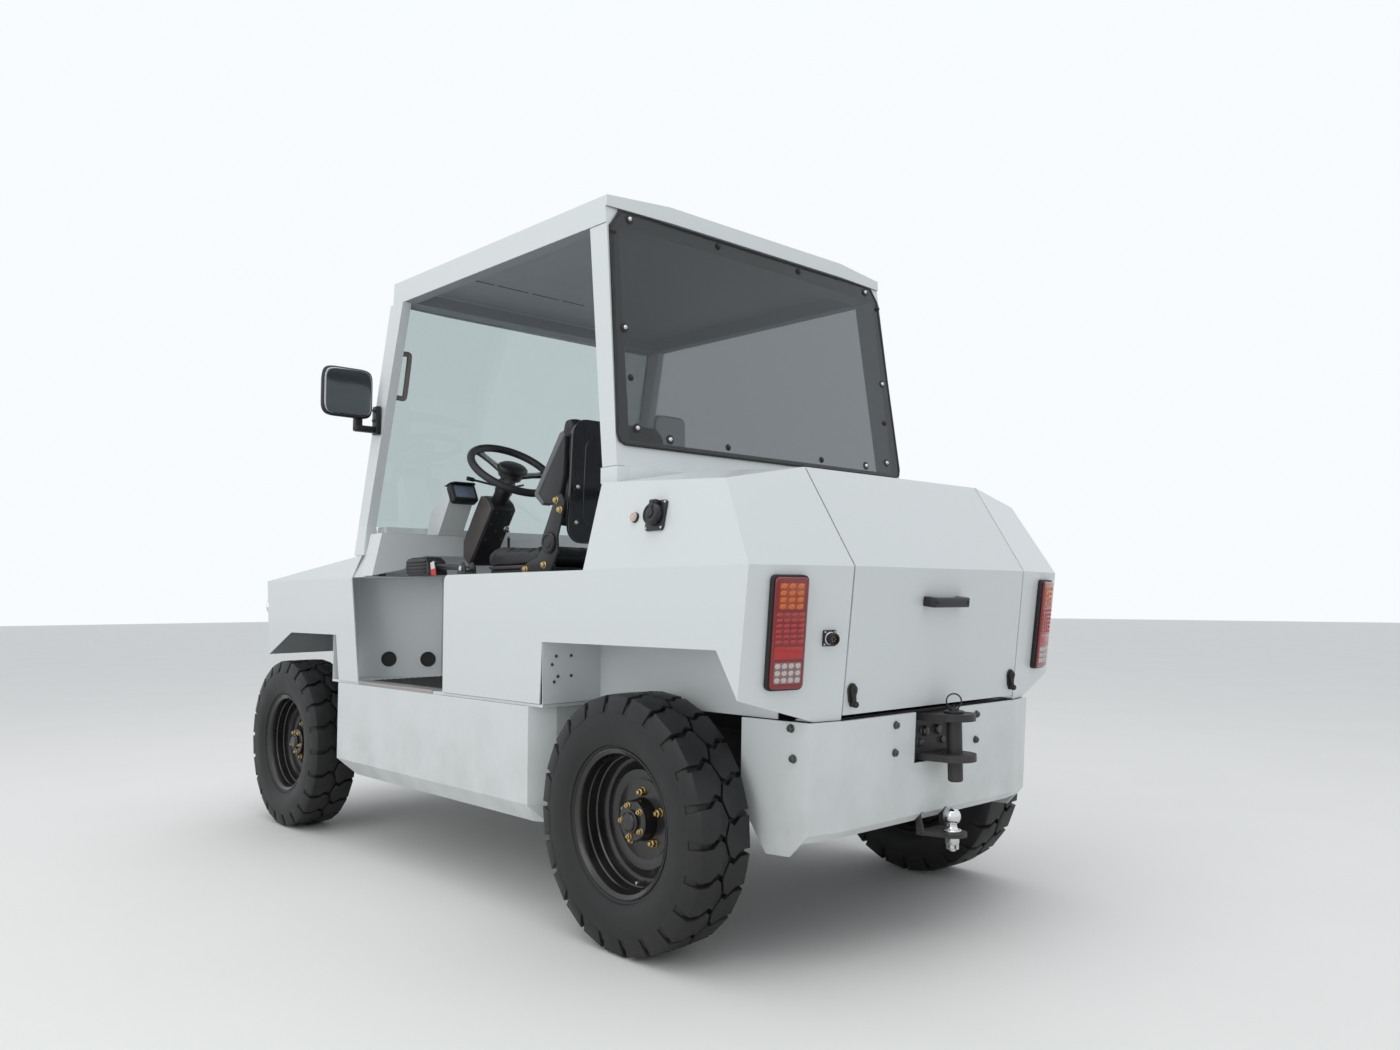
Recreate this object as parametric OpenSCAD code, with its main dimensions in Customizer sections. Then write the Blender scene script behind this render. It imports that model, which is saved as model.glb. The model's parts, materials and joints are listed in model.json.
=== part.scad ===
// Airport baggage tug: a short four-wheeled tow tractor with an open-sided cab.
// X points forward, Y to the driver's left, Z up; millimetres.
// Pieces are drawn from the rear axle's centre line on the ground and then moved
// so that the middle of the whole machine is the origin.

/* [Wheels] */
// Outside diameter of a tyre, over its lugs
tyre_d = 711; // [660:1:730]
// Width of a tyre at its sidewalls
tyre_w = 196; // [180:1:205]
// Width of the tread across the lugs
tread_w = 170; // [150:1:175]
// Diameter over the lips of a rim
rim_d = 410; // [390:1:420]
// How far the middle of each tyre lies inside the shoulders of the body
wheel_inset = 79; // [71:1:87]
// Distance between the front and rear axles
wheelbase = 2320; // [2300:1:2340]
// Distance from the middle of a front tyre in to its steering pivot
pivot_inset = 138; // [133:1:148]
// Diameter of the kingpins
kingpin_d = 36; // [28:1:40]
// Diameter of the spindles that carry the wheels
spindle_d = 60; // [45:1:64]

/* [Body] */
// Half of the width of the body at its shoulders
half_w = 747; // [730:1:760]
// Half of the width of the flat middle of the body
fold_y = 424; // [410:1:440]
// Height of the lower edge of the body
body_z = 656; // [650:1:665]
// Height of the shoulder line
shoulder_z = 1060; // [1040:1:1075]
// Distance from the rear axle back to the tail at its shoulder
tail_x = 582; // [570:1:600]
// How far the tail leans forward below the shoulder, for each millimetre of height
low_rake = 0.128; // [0.11:0.002:0.14]
// How far the tail leans forward above the shoulder, for each millimetre of height
high_rake = 0.615; // [0.56:0.005:0.66]
// How far the corner faces and the upper sides lean in, for each millimetre
lean = 0.218; // [0.2:0.002:0.23]
// Height of the rear end of the deck
deck_z = 1337; // [1320:1:1345]
// Rise of the deck for each millimetre forward
deck_rise = 0.056; // [0.045:0.001:0.06]
// How far the top of the upper sides lies inside the shoulders, at the tail
top_inset = 50; // [45:1:57]
// Thickness of the sheet steel of the body
sheet_t = 4; // [3:0.5:5]
// Gap between the lid and the panels beside it
lid_gap = 6; // [5:0.5:8]
// Width of the step boxes' sloped lower edge
step_bevel = 47; // [30:1:60]

/* [Cab] */
// Height of the top of the cab floor
floor_z = 655; // [652:0.5:656]
// Height of the highest line of the roof, at its rear end
roof_z = 2224; // [2212:1:2240]
// Distance from the rear axle to the rear face of the cab at the deck
cab_x = 80; // [76:1:84]
// How far the edge of the roof lies inside the shoulders of the body
roof_inset = 79; // [71:1:87]
// Thickness of the window panes
pane_t = 6; // [4:1:8]
// Diameter of the steering wheel
helm_d = 370; // [340:1:400]
// Distance from the middle of the machine to the middle of the driver's seat
seat_y = 280; // [265:1:290]

/* [Bumpers and hitch] */
// Height of the lower edge of the rear bumper
bumper_low_z = 365; // [340:1:380]
// Thickness of the bumper plates
plate_t = 8; // [6:1:10]
// Distance from the front axle to the front face of the front bumper
nose_overhang = 455; // [450:1:480]
// Diameter of the pin in the rear towing jaw
pin_d = 43; // [38:1:46]
// Diameter of the tow ball
ball_d = 50; // [46:1:54]

/* [Hidden] */
$fn = 64;

white = "#dfe4e4";
black = "#1c1d1f";
dark = "#2b2c2e";
steel = "#9aa0a4";
chrome = "#d4d7da";

// Running clearance between pieces that lie against each other
seat_gap = 0.3;
// Small overlap that lets cuts pass through a face
eps = 1;

axle_z = tyre_d/2;
tyre_r = tyre_d/2;
rim_r = rim_d/2;

// Distances from the middle of the machine out to the tyres, steering pivots and roof edge
wheel_y = half_w - wheel_inset;
kingpin_y = wheel_y - pivot_inset;
roof_y = half_w - roof_inset;

// Lengths ahead of and behind the rear axle, and the middle between them
front_eye_reach = 30;
nose_reach = wheelbase + nose_overhang;
jaw_x = 656;
front_x = nose_reach + front_eye_reach;
mid_x = (front_x - jaw_x)/2;

module placed() translate([-mid_x, 0, 0]) children();
module both() {
  children();
  mirror([0, 1, 0]) children();
}

function unit(v) = v/norm(v);

// Flat plate between the listed corners, which lie on its outer face. It goes t deep
// along the right-hand normal of the way from the first corner to the second and last.
// Each corner is drawn in a little, so that plates that meet share no edge. A plate that
// is cut from another is grown all round instead.
corner_inset = 0.1;
module sheet(corners, t, grow = 0) {
  o = corners[0];
  u = unit(corners[1] - o);
  n = unit(cross(u, corners[len(corners) - 1] - o));
  v = cross(n, u);
  flat = [for (c = corners) [(c - o)*u, (c - o)*v]];
  middle = [for (p = flat) 1]*flat/len(flat);
  multmatrix([[u.x, v.x, n.x, o.x], [u.y, v.y, n.y, o.y], [u.z, v.z, n.z, o.z], [0, 0, 0, 1]])
    translate([0, 0, -grow]) linear_extrude(t + 2*grow)
      polygon([for (p = flat) p + (corner_inset - grow)*unit(middle - p)]);
}

// Puts a piece on a face: its Z along the outward normal, its X level, its Y up the face
module facing(point, normal) {
  w = unit(normal);
  u = unit(cross([0, 0, 1], w));
  v = cross(w, u);
  multmatrix([[u.x, v.x, w.x, point.x], [u.y, v.y, w.y, point.y], [u.z, v.z, w.z, point.z],
    [0, 0, 0, 1]]) children();
}

// Box given by its lowest and highest corners
module block(low, high) translate(low) cube(high - low);

// Round bar from one point to another
module bar(from, to, d) {
  w = unit(to - from);
  a = abs(w.z) > 0.9 ? [1, 0, 0] : [0, 0, 1];
  u = unit(cross(a, w));
  v = cross(w, u);
  multmatrix([[u.x, v.x, w.x, from.x], [u.y, v.y, w.y, from.y], [u.z, v.z, w.z, from.z],
    [0, 0, 0, 1]]) cylinder(d = d, h = norm(to - from));
}

// Outline in the XZ plane, pulled from y = from to y = to
module side_profile(from, to) translate([0, to, 0]) rotate([90, 0, 0])
  linear_extrude(to - from) children();

// Body lines

function tail_at(z) = z < shoulder_z
  ? -tail_x + low_rake*(shoulder_z - z)
  : -tail_x + high_rake*(z - shoulder_z);
function corner_at(y, z) = tail_at(z) + lean*(y - fold_y);
function side_at(z) = half_w - lean*max(0, z - shoulder_z);
tail_normal = [-1, 0, -low_rake];
corner_normal = [-1, lean, -low_rake];
side_normal = [0, 1, lean];

deck_rear_x = -tail_x + high_rake*(deck_z - shoulder_z);
function deck_at(x) = deck_z + deck_rise*(x - deck_rear_x);

// The point where the corner face, the upper side and the hip meet
top_y = half_w - top_inset;
hip_z = shoulder_z + (half_w - top_y)/lean;
hip_x = corner_at(top_y, hip_z);
hip_drop = (deck_at(hip_x) - hip_z)/(top_y - fold_y);

// Edge between the upper side and the hip, forward of that point
function edge_z(x) = (deck_at(x) - hip_drop*(half_w - fold_y) - hip_drop*lean*shoulder_z)
  /(1 - hip_drop*lean);
function edge_point(x) = [x, side_at(edge_z(x)), edge_z(x)];

// Rear wheel arch and the door opening, seen from the side
arch_rear_z = 723;
arch_rear_x = corner_at(half_w, arch_rear_z);
arch_top_z = 845;
arch_front_x = 385;
low_corner_y = half_w - 235;
well_y = half_w - 222;
well_front_x = 373;
well_rear_x = arch_rear_x + 70;
door_rear_x = wheelbase - 1350;
pillar_base_x = 167;

crease_in = [tail_at(shoulder_z), fold_y, shoulder_z];
deck_corner = [deck_rear_x, fold_y, deck_z];
low_in = [tail_at(body_z), fold_y, body_z];
low_corner = [corner_at(low_corner_y, body_z), low_corner_y, body_z];
arch_corner = [arch_rear_x, half_w, arch_rear_z];
shoulder_corner = [corner_at(half_w, shoulder_z), half_w, shoulder_z];
hip_corner = [hip_x, top_y, hip_z];

// Step boxes
step_in_y = half_w - 187;
step_front_x = wheelbase - 521;
step_rear_x = 410;
step_top_z = floor_z - 10;
step_crease_z = 345;
step_low_z = 285;

// Chassis

rail_y = 300;
rail_w = 60;
rail_z = 470;
rail_h = 120;
rail_top_z = rail_z + rail_h;
rail_rear_x = -514;
rail_front_x = nose_reach - 155;
hitch_face_x = rail_rear_x + 12;
rail_in = rail_y - rail_w/2;
rail_out = rail_y + rail_w/2;
cross_w = 60;
cross_xs = [420, 1150, wheelbase - 570, rail_front_x - 80];
outrigger_xs = [620, wheelbase - 820];
pad_l = 70;
mount_xs = [480, 1100, wheelbase - 620];
post_x = wheelbase + 160;

module chassis_frame() color(dark) placed() {
  both() block([rail_rear_x, rail_in, rail_z], [rail_front_x, rail_out, rail_top_z]);
  for (x = cross_xs)
    block([x, -rail_y, rail_z + 15], [x + cross_w, rail_y, rail_top_z - 15]);
  // Rear cross member that carries the hitch
  block([hitch_face_x, -rail_y, rail_z + 10], [hitch_face_x + cross_w, rail_y, rail_top_z]);
  // Bolster under the rear corners
  block([hitch_face_x, -low_corner_y, rail_top_z - eps], [hitch_face_x + cross_w, low_corner_y, body_z]);
  both() {
    // Outriggers to the step boxes and pads under the floor
    for (x = outrigger_xs)
      block([x, rail_y, rail_z + 30], [x + cross_w, step_in_y, rail_top_z]);
    for (x = mount_xs)
      block([x, rail_in, rail_top_z - eps], [x + pad_l, rail_out, step_top_z]);
    // Post behind the nose panel
    block([post_x, rail_in, rail_top_z - eps], [post_x + cross_w, nose_low_y - sheet_t, post_top_z]);
  }
}

// Axles

spring_w = 56;
spring_t = 30;
spindle_end_y = wheel_y + 30;
boss_h = 80;
boss_d = 84;
fork_h = 156;
fork_gap = boss_h/2 + 3;
fork_web = boss_d/2 + 14;
backing_y = kingpin_y + boss_d/2 + 2;
backing_t = 8;
drum_gap = 5;

module leaf_spring(half_length) {
  y = rail_y;
  block([-half_length, y - spring_w/2, rail_z - spring_t], [half_length, y + spring_w/2, rail_z]);
  block([-60, y - spring_w/2, axle_z], [60, y + spring_w/2, rail_z - spring_t + eps]);
}

// Casing, differential, springs, backing plates and the spindles of the rear wheels
module rear_axle() color(dark) placed() {
  translate([0, backing_y, axle_z]) rotate([90, 0, 0]) cylinder(d = 116, h = 2*backing_y);
  translate([0, 0, axle_z]) sphere(d = 230);
  both() {
    translate([0, backing_y, axle_z]) rotate([90, 0, 0]) cylinder(d = 290, h = backing_t);
    translate([0, spindle_end_y, axle_z]) rotate([90, 0, 0])
      cylinder(d = spindle_d, h = spindle_end_y - backing_y + eps);
    leaf_spring(380);
  }
}

// Steered front axle: a beam with a fork for each kingpin
module front_axle() color(dark) placed() translate([wheelbase, 0, 0]) {
  difference() {
    union() {
      block([-45, -kingpin_y + fork_web, axle_z - 45], [45, kingpin_y - fork_web, axle_z + 45]);
      both() {
        block([-34, kingpin_y - fork_web - 34, axle_z - fork_h/2],
          [34, kingpin_y, axle_z + fork_h/2]);
        translate([0, kingpin_y, axle_z - fork_h/2]) cylinder(d = 78, h = fork_h);
      }
    }
    both() {
      translate([0, kingpin_y, axle_z - fork_h/2 - eps]) cylinder(d = kingpin_d, h = fork_h + 2*eps);
      // Mouth of the fork
      block([-60, kingpin_y - fork_web, axle_z - fork_gap], [60, kingpin_y + 60, axle_z + fork_gap]);
    }
  }
  both() leaf_spring(320);
}

// Traction battery under the lid, one plain block
battery_l = 460;
battery_w = 780;
battery_h = 610;
battery_x = -400;
module battery_block() color("#4a4f55") placed()
  block([battery_x, -battery_w/2, rail_top_z],
    [battery_x + battery_l, battery_w/2, rail_top_z + battery_h]);

// Knuckle: boss and kingpin, spindle out to the wheel, arm back to the tie rod
arm_x = 150;
arm_t = 22;
rod_d = 26;
rod_eye_d = 40;
rod_eye_h = 30;
ball_pin_d = 16;
module knuckle() {
  cylinder(d = boss_d, h = boss_h, center = true);
  cylinder(d = kingpin_d - 0.12, h = fork_h + 12, center = true);
  // Spindle
  rotate([-90, 0, 0]) cylinder(d = spindle_d, h = spindle_end_y - kingpin_y);
  // Steering arm with the pin of the tie rod hanging from it
  block([-arm_x, -15, -boss_h/2 + eps], [0, 15, -boss_h/2 + arm_t - eps]);
  translate([-arm_x, 0, -boss_h/2]) cylinder(d = 38, h = arm_t);
  translate([-arm_x, 0, -boss_h/2 - rod_eye_h]) cylinder(d = ball_pin_d, h = rod_eye_h + eps);
}
module knuckle_left() color(dark) placed() translate([wheelbase, kingpin_y, axle_z]) knuckle();
module knuckle_right() color(dark) placed()
  translate([wheelbase, -kingpin_y, axle_z]) mirror([0, 1, 0]) knuckle();

module tie_rod() color(dark) placed() translate([wheelbase - arm_x, 0, axle_z - boss_h/2]) {
  difference() {
    union() {
      translate([0, kingpin_y, -rod_eye_h/2 - 1]) rotate([90, 0, 0]) cylinder(d = rod_d, h = 2*kingpin_y);
      both() translate([0, kingpin_y, -rod_eye_h]) cylinder(d = rod_eye_d, h = rod_eye_h - 1);
    }
    both() translate([0, kingpin_y, -rod_eye_h - eps]) cylinder(d = ball_pin_d + 0.12, h = rod_eye_h + eps);
  }
}

// Wheels, drawn about the Y axis with the outer side towards +Y

rim_half = 76;
bead_r = rim_r - 15;
rim_wall = 6;
disc_y = -14;
disc_t = 9;
hub_d = 112;
hub_out = 44;
drum_d = 270;
drum_in = backing_y + drum_gap - wheel_y;
barrel_r = bead_r - rim_wall;
module rim() rotate([-90, 0, 0]) {
  difference() {
    rotate_extrude() polygon([
      [30, disc_y - disc_t], [barrel_r - 40, disc_y - disc_t], [barrel_r + 1, disc_y - disc_t - 16],
      [barrel_r, -rim_half], [rim_r, -rim_half], [rim_r, -rim_half + 6], [bead_r, -rim_half + 8],
      [bead_r, rim_half - 8], [rim_r, rim_half - 6], [rim_r, rim_half], [barrel_r + 4, rim_half],
      [barrel_r, rim_half - 8], [barrel_r, disc_y - 12], [barrel_r - 36, disc_y], [30, disc_y]
    ]);
    translate([0, 0, -200]) cylinder(d = hub_d - 2, h = 400);
  }
  // Hub and brake drum, bored for the spindle
  difference() {
    union() {
      translate([0, 0, disc_y - disc_t]) cylinder(d = hub_d, h = hub_out - disc_y + disc_t);
      translate([0, 0, drum_in]) cylinder(d = drum_d, h = disc_y - disc_t - drum_in + 0.5);
    }
    translate([0, 0, -200]) cylinder(d = spindle_d + 0.12, h = 200 + spindle_end_y - wheel_y + 2);
  }
}

// Tyre: a turned carcass and two rings of lugs, whose tips run into each other's gaps
tyre_steps = 36;
lugs = 22;
lug_h = 16;
lug_share = 0.84;
lug_slope = 0.02;
lug_lap = 3;
root_r = tyre_r - lug_h;
function lug_corner(i, share, r) = [r*cos(360*(i + share)/lugs), r*sin(360*(i + share)/lugs)];
module lug_ring() difference() {
  translate([0, 0, -lug_lap]) linear_extrude(tread_w/2 + lug_lap) polygon([
    for (i = [0 : lugs - 1]) each [lug_corner(i, 0, root_r), lug_corner(i, lug_slope, tyre_r),
      lug_corner(i, lug_share - lug_slope, tyre_r), lug_corner(i, lug_share, root_r)]]);
  translate([0, 0, -2*lug_lap]) cylinder(r = root_r - lug_h, h = tread_w, $fn = tyre_steps);
}
module tyre() rotate([-90, 0, 0]) {
  base_r = bead_r + seat_gap;
  carcass_r = root_r - 4;
  shoulder_y = tread_w/2 + 4;
  lug_ring();
  rotate([180, 0, 180/lugs]) lug_ring();
  rotate_extrude($fn = tyre_steps) polygon([
    [base_r, -rim_half + 8.5], [rim_r + 1, -rim_half + 6.5], [rim_r + 10, -rim_half - 8],
    [rim_r + 50, -tyre_w/2], [tyre_r - 60, -tyre_w/2], [carcass_r, -shoulder_y],
    [carcass_r, shoulder_y], [tyre_r - 60, tyre_w/2], [rim_r + 50, tyre_w/2],
    [rim_r + 10, rim_half + 8], [rim_r + 1, rim_half - 6.5], [base_r, rim_half - 8.5]
  ]);
}

// Places for the four wheels, as axle position and side; the right ones are turned half round
module at_wheel(x, side) placed()
  translate([x, side*wheel_y, axle_z]) rotate(side < 0 ? 180 : 0) children();

module rim_front_left() color(black) at_wheel(wheelbase, 1) rim();
module rim_front_right() color(black) at_wheel(wheelbase, -1) rim();
module rim_rear_left() color(black) at_wheel(0, 1) rim();
module rim_rear_right() color(black) at_wheel(0, -1) rim();
module tyre_front_left() color(dark) at_wheel(wheelbase, 1) tyre();
module tyre_front_right() color(dark) at_wheel(wheelbase, -1) tyre();
module tyre_rear_left() color(dark) at_wheel(0, 1) tyre();
module tyre_rear_right() color(dark) at_wheel(0, -1) tyre();

// Floor and the low walls of the cab

inner_y = half_w - sheet_t;
floor_rear_x = well_front_x + 1;
// Inner face of the firewall in plan, from the door side to the middle
firewall_x = wheelbase - 460;
plan_y = inner_y - 3*seat_gap;
firewall_path = [[firewall_x, plan_y], [firewall_x, half_w - 113], [firewall_x - 75, 545],
  [firewall_x - 155, 440], [firewall_x - 200, 365], [firewall_x - 215, 0]];
firewall_points = len(firewall_path) - 1;
module firewall_plan(shift) polygon(concat(
  [for (p = firewall_path) p + [shift, 0]],
  [for (i = [firewall_points - 1 : -1 : 0]) [firewall_path[i].x + shift, -firewall_path[i].y]],
  [[floor_rear_x, -plan_y], [floor_rear_x, plan_y]]));

module floor_plate() color(white) placed()
  translate([0, 0, step_top_z]) linear_extrude(floor_z - step_top_z) firewall_plan(sheet_t);

mat_t = 3;
mat_y = half_w - 57;
module floor_mat() color(black) placed()
  block([platform_x + 15, -mat_y, floor_z], [firewall_path[5].x - 5, mat_y, floor_z + mat_t]);

shelf_z = 1064;
shelf_x = firewall_x - 260;
module firewall() color(white) placed() {
  translate([0, 0, floor_z]) linear_extrude(shelf_z - floor_z) difference() {
    firewall_plan(sheet_t);
    firewall_plan(0);
  }
  translate([0, 0, shelf_z - eps]) linear_extrude(sheet_t + eps) difference() {
    firewall_plan(sheet_t);
    translate([0, -half_w]) square([shelf_x, 2*half_w]);
    // Clear of the fenders, which lean in above the shoulder
    for (side = [0, 1]) mirror([0, side]) translate([shelf_x - eps, inner_y - 3]) square([900, 10]);
  }
}

platform_x = wheelbase - 1280;
platform_z = 1050;
module seat_platform() color(white) placed() {
  x = cab_x + 12;
  block([x, -mat_y, platform_z - sheet_t], [platform_x, mat_y, platform_z]);
  block([platform_x - sheet_t, -mat_y, floor_z], [platform_x, mat_y, platform_z]);
  block([x, 30 - mat_y, platform_z - sheet_t], [x + sheet_t, mat_y - 30, deck_z - 37]);
}

// Rear body

module rear_side() {
  // Side below the shoulder, with the wheel arch cut out
  sheet([shoulder_corner, arch_corner, [arch_rear_x + 75, half_w, arch_top_z],
    [well_front_x, half_w, arch_top_z], [arch_front_x, half_w, body_z],
    [door_rear_x, half_w, body_z], [door_rear_x, half_w, shoulder_z]], sheet_t);
  // Leaning side above the shoulder
  sheet([shoulder_corner, [pillar_base_x, half_w, shoulder_z],
    edge_point(cab_x + 70), edge_point(cab_x), hip_corner], sheet_t);
  // Corner faces
  sheet([crease_in, low_in, low_corner, arch_corner, shoulder_corner], sheet_t);
  sheet([deck_corner, crease_in, shoulder_corner, hip_corner], sheet_t);
  // Flange that rests on the chassis
  translate([0, 0, body_z]) linear_extrude(sheet_t) polygon([[low_in.x + 2, fold_y],
    [low_corner.x + 2, low_corner_y - 1], [-450, low_corner_y - 1], [-450, fold_y]]);
  // Hip
  sheet([deck_corner, hip_corner, edge_point(cab_x), [cab_x, fold_y, deck_at(cab_x)]], sheet_t);
  // Sill on top of the low side, and its front edge
  block([pillar_base_x - 60, half_w - 45, shoulder_z - sheet_t],
    [door_rear_x, half_w - sheet_t/2, shoulder_z]);
  block([door_rear_x - sheet_t, half_w - 45, floor_z], [door_rear_x, half_w - sheet_t/2, shoulder_z]);
  // Wheel housing: ceiling, inner wall and front wall
  y = half_w - sheet_t/2;
  block([well_rear_x, well_y - sheet_t, arch_top_z], [well_front_x, y, arch_top_z + sheet_t]);
  block([well_rear_x, well_y - sheet_t, body_z], [well_front_x, well_y, arch_top_z + sheet_t]);
  block([well_front_x - sheet_t, well_y - sheet_t, body_z], [well_front_x, y, arch_top_z + sheet_t]);
}
module rear_side_left() color(white) placed() rear_side();
module rear_side_right() color(white) placed() mirror([0, 1, 0]) rear_side();

// Lid over the battery, from the deck down to the bumper
lid_y = fold_y - lid_gap;
lid_front_x = 30;
lid_low_z = body_z + 12;
flange_d = 24;
hinge_x = lid_front_x + 9;
hinge_z = deck_at(hinge_x) - 5;
hinge_d = 12;
hinge_pin_d = 7;
// Stretches of a hinge along Y: lid's knuckle and the cab's knuckle
lid_knuckle = [300, 340];
cab_knuckle = [340.5, 380];
module lid_hinge_pin(d) both() translate([hinge_x, cab_knuckle[1], hinge_z])
  rotate([90, 0, 0]) cylinder(d = d, h = cab_knuckle[1] - lid_knuckle[0]);
module tail_lid() color(white) placed() {
  low = tail_at(lid_low_z);
  crease = tail_at(shoulder_z);
  front = deck_at(lid_front_x);
  sheet([[crease, lid_y, shoulder_z], [crease, -lid_y, shoulder_z],
    [low, -lid_y, lid_low_z], [low, lid_y, lid_low_z]], sheet_t);
  sheet([[deck_rear_x, lid_y, deck_z], [deck_rear_x, -lid_y, deck_z],
    [crease, -lid_y, shoulder_z], [crease, lid_y, shoulder_z]], sheet_t);
  sheet([[lid_front_x, lid_y, front], [lid_front_x, -lid_y, front],
    [deck_rear_x, -lid_y, deck_z], [deck_rear_x, lid_y, deck_z]], sheet_t);
  both() {
    // Turned-in flange along the side
    side_profile(lid_y - sheet_t, lid_y) polygon([
      [low + 1, lid_low_z], [crease + 1, shoulder_z], [deck_rear_x + 1, deck_z - 1],
      [lid_front_x, front - 1], [lid_front_x, front - flange_d],
      [deck_rear_x + flange_d*0.7, deck_z - flange_d],
      [crease + flange_d, shoulder_z], [low + flange_d, lid_low_z]]);
    // Hinge knuckle with its leaf and pin
    block([lid_front_x - 40, lid_knuckle[0], hinge_z - 3], [hinge_x, lid_knuckle[1], hinge_z + 2]);
    translate([hinge_x, lid_knuckle[1], hinge_z]) rotate([90, 0, 0])
      cylinder(d = hinge_d, h = lid_knuckle[1] - lid_knuckle[0]);
  }
  lid_hinge_pin(hinge_pin_d - 0.12);
}

handle_y = 13;
handle_z = 967;
handle_w = 185;
latch_y = 392;
latch_z = 726;
module on_tail(y, z) facing([tail_at(z), y, z], tail_normal) children();
module lid_fittings() color(black) placed() {
  // Grip bar on two feet
  on_tail(handle_y, handle_z) difference() {
    block([-handle_w/2, -15, 0], [handle_w/2, 15, 40]);
    block([-handle_w/2 + 22, -20, -eps], [handle_w/2 - 22, 20, 24]);
  }
  // Rubber latches at the lower corners
  both() on_tail(latch_y, latch_z) {
    block([-18, -26, 0], [18, 30, 14]);
    translate([0, -20, 0]) cylinder(d = 30, h = 24);
  }
}

// Front body

nose_x = wheelbase + 315;
nose_rake = 0.116;
nose_low_z = 731;
nose_low_y = 345;
ridge_rise = 0.1;
foot_x = wheelbase - 666;
door_front_x = wheelbase - 624;
door_low_x = wheelbase - 697;
front_arch_x = wheelbase - 491;
front_arch_z = 834;
front_arch_end_x = wheelbase - 38;
post_top_z = 1000;
function nose_at(y, z) = nose_x + nose_rake*(z - shoulder_z) - lean*(y - fold_y);
nose_normal = [1, lean, -nose_rake];
nose_corner = [nose_at(half_w, shoulder_z), half_w, shoulder_z];
function ridge_at(x) = shoulder_z + ridge_rise*(nose_corner.x - x);
function ridge_point(x) = [x, side_at(ridge_at(x)), ridge_at(x)];
hood_front_z = 1113;
hood_rear_x = wheelbase - 620;
hood_rear_z = 1203;
nose_fold = [nose_at(fold_y, hood_front_z), fold_y, hood_front_z];
nose_foot = [nose_at(half_w, nose_low_z), half_w, nose_low_z];

// Rings of the front pillar, from its foot on the fender to the roof. Columns: height,
// front edge, rear edge, outer face, inner face
pillar_foot = [1151, wheelbase - 598, wheelbase - 680, half_w - 21, half_w - 97];
pillar_low = [1268, wheelbase - 580, wheelbase - 655, half_w - 45, half_w - 85];
pillar_high = [roof_z - 74, wheelbase - 777, wheelbase - 879, roof_y + 8, roof_y - 28];
pillar_step = 22;
module ring(r, t, grow = 0) translate([0, 0, r[0] - grow]) linear_extrude(t + 2*grow)
  polygon([[r[1] + grow, r[3] + grow], [r[2] - grow, r[3] + grow], [r[2] - grow, r[4] - grow],
    [r[1] - pillar_step + grow, r[4] - grow]]);

// Outer plates of a fender, and the foot of the front pillar
module fender_skin(grow = 0) {
  sheet([nose_corner, [door_front_x, half_w, shoulder_z], [door_low_x, half_w, floor_z],
    [front_arch_x - 34, half_w, floor_z], [front_arch_x, half_w, front_arch_z],
    [front_arch_end_x, half_w, front_arch_z], nose_foot], sheet_t, grow);
  sheet([[door_front_x, half_w, shoulder_z], nose_corner, ridge_point(foot_x)], sheet_t, grow);
  sheet([nose_corner, nose_foot, [nose_at(fold_y, nose_low_z), fold_y, nose_low_z], nose_fold],
    sheet_t, grow);
  hull() {
    ring(pillar_low - [2, 0, 0, 0, 0], 2, grow);
    ring(pillar_foot, 2, grow);
  }
}
module front_fender() {
  fender_skin();
  // Wheel housing: ceiling and inner wall
  block([firewall_x + sheet_t + 1, nose_low_y - sheet_t, front_arch_z],
    [front_arch_end_x + 8, half_w - sheet_t/2, front_arch_z + sheet_t]);
  block([firewall_x + sheet_t + 1, nose_low_y - sheet_t, front_arch_z],
    [nose_x - 90, nose_low_y, post_top_z]);
  block([front_arch_end_x - 2, nose_low_y - sheet_t, front_arch_z],
    [nose_x - 90, half_w - 100, front_arch_z + sheet_t]);
}
module front_fenders() color(white) placed() both() front_fender();

module hood_skin(grow = 0) {
  sheet([nose_fold, [nose_fold.x, -fold_y, nose_fold.z],
    [hood_rear_x, -fold_y, hood_rear_z], [hood_rear_x, fold_y, hood_rear_z]], sheet_t, grow);
  both() sheet([[hood_rear_x, fold_y, hood_rear_z], ridge_point(hood_rear_x), nose_corner, nose_fold],
    sheet_t, grow);
}
// Plates that meet those of a neighbour are cut back by this much more than its thickness
cut_gap = 0.4;
module hood() color(white) placed() difference() {
  hood_skin();
  both() fender_skin(cut_gap);
}

slot_h = 14;
slot_y = 300;
grille_low_z = 620;
module nose_panel() color(white) placed() {
  foot = [nose_at(fold_y, nose_low_z), fold_y, nose_low_z];
  low = [nose_at(fold_y, grille_low_z), nose_low_y, grille_low_z];
  difference() {
    sheet([nose_fold, foot, [foot.x, nose_low_y, foot.z], low, [low.x, -low.y, low.z],
      [foot.x, -nose_low_y, foot.z], [foot.x, -foot.y, foot.z], [nose_fold.x, -fold_y, nose_fold.z]],
      sheet_t);
    for (z = [760 : 40 : 1000]) block([nose_x - 200, -slot_y, z], [nose_x + 50, slot_y, z + slot_h]);
    hood_skin(cut_gap);
    both() fender_skin(cut_gap);
  }
}

// Boxes along the lower sides, between the wheels
module step_box() hull() {
  translate([0, 0, step_crease_z]) linear_extrude(step_top_z - step_crease_z)
    polygon([[step_rear_x, step_in_y], [step_rear_x, half_w - 83], [step_rear_x + 36, half_w],
      [step_front_x, half_w], [step_front_x, step_in_y]]);
  translate([0, 0, step_low_z]) linear_extrude(2)
    polygon([[step_rear_x + 30, step_in_y], [step_rear_x + 30, half_w - 67],
      [step_rear_x + 60, half_w - step_bevel],
      [step_front_x - 84, half_w - step_bevel], [step_front_x - 84, step_in_y]]);
}
module step_boxes() color(white) placed() both() step_box();

// Bumpers

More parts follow.
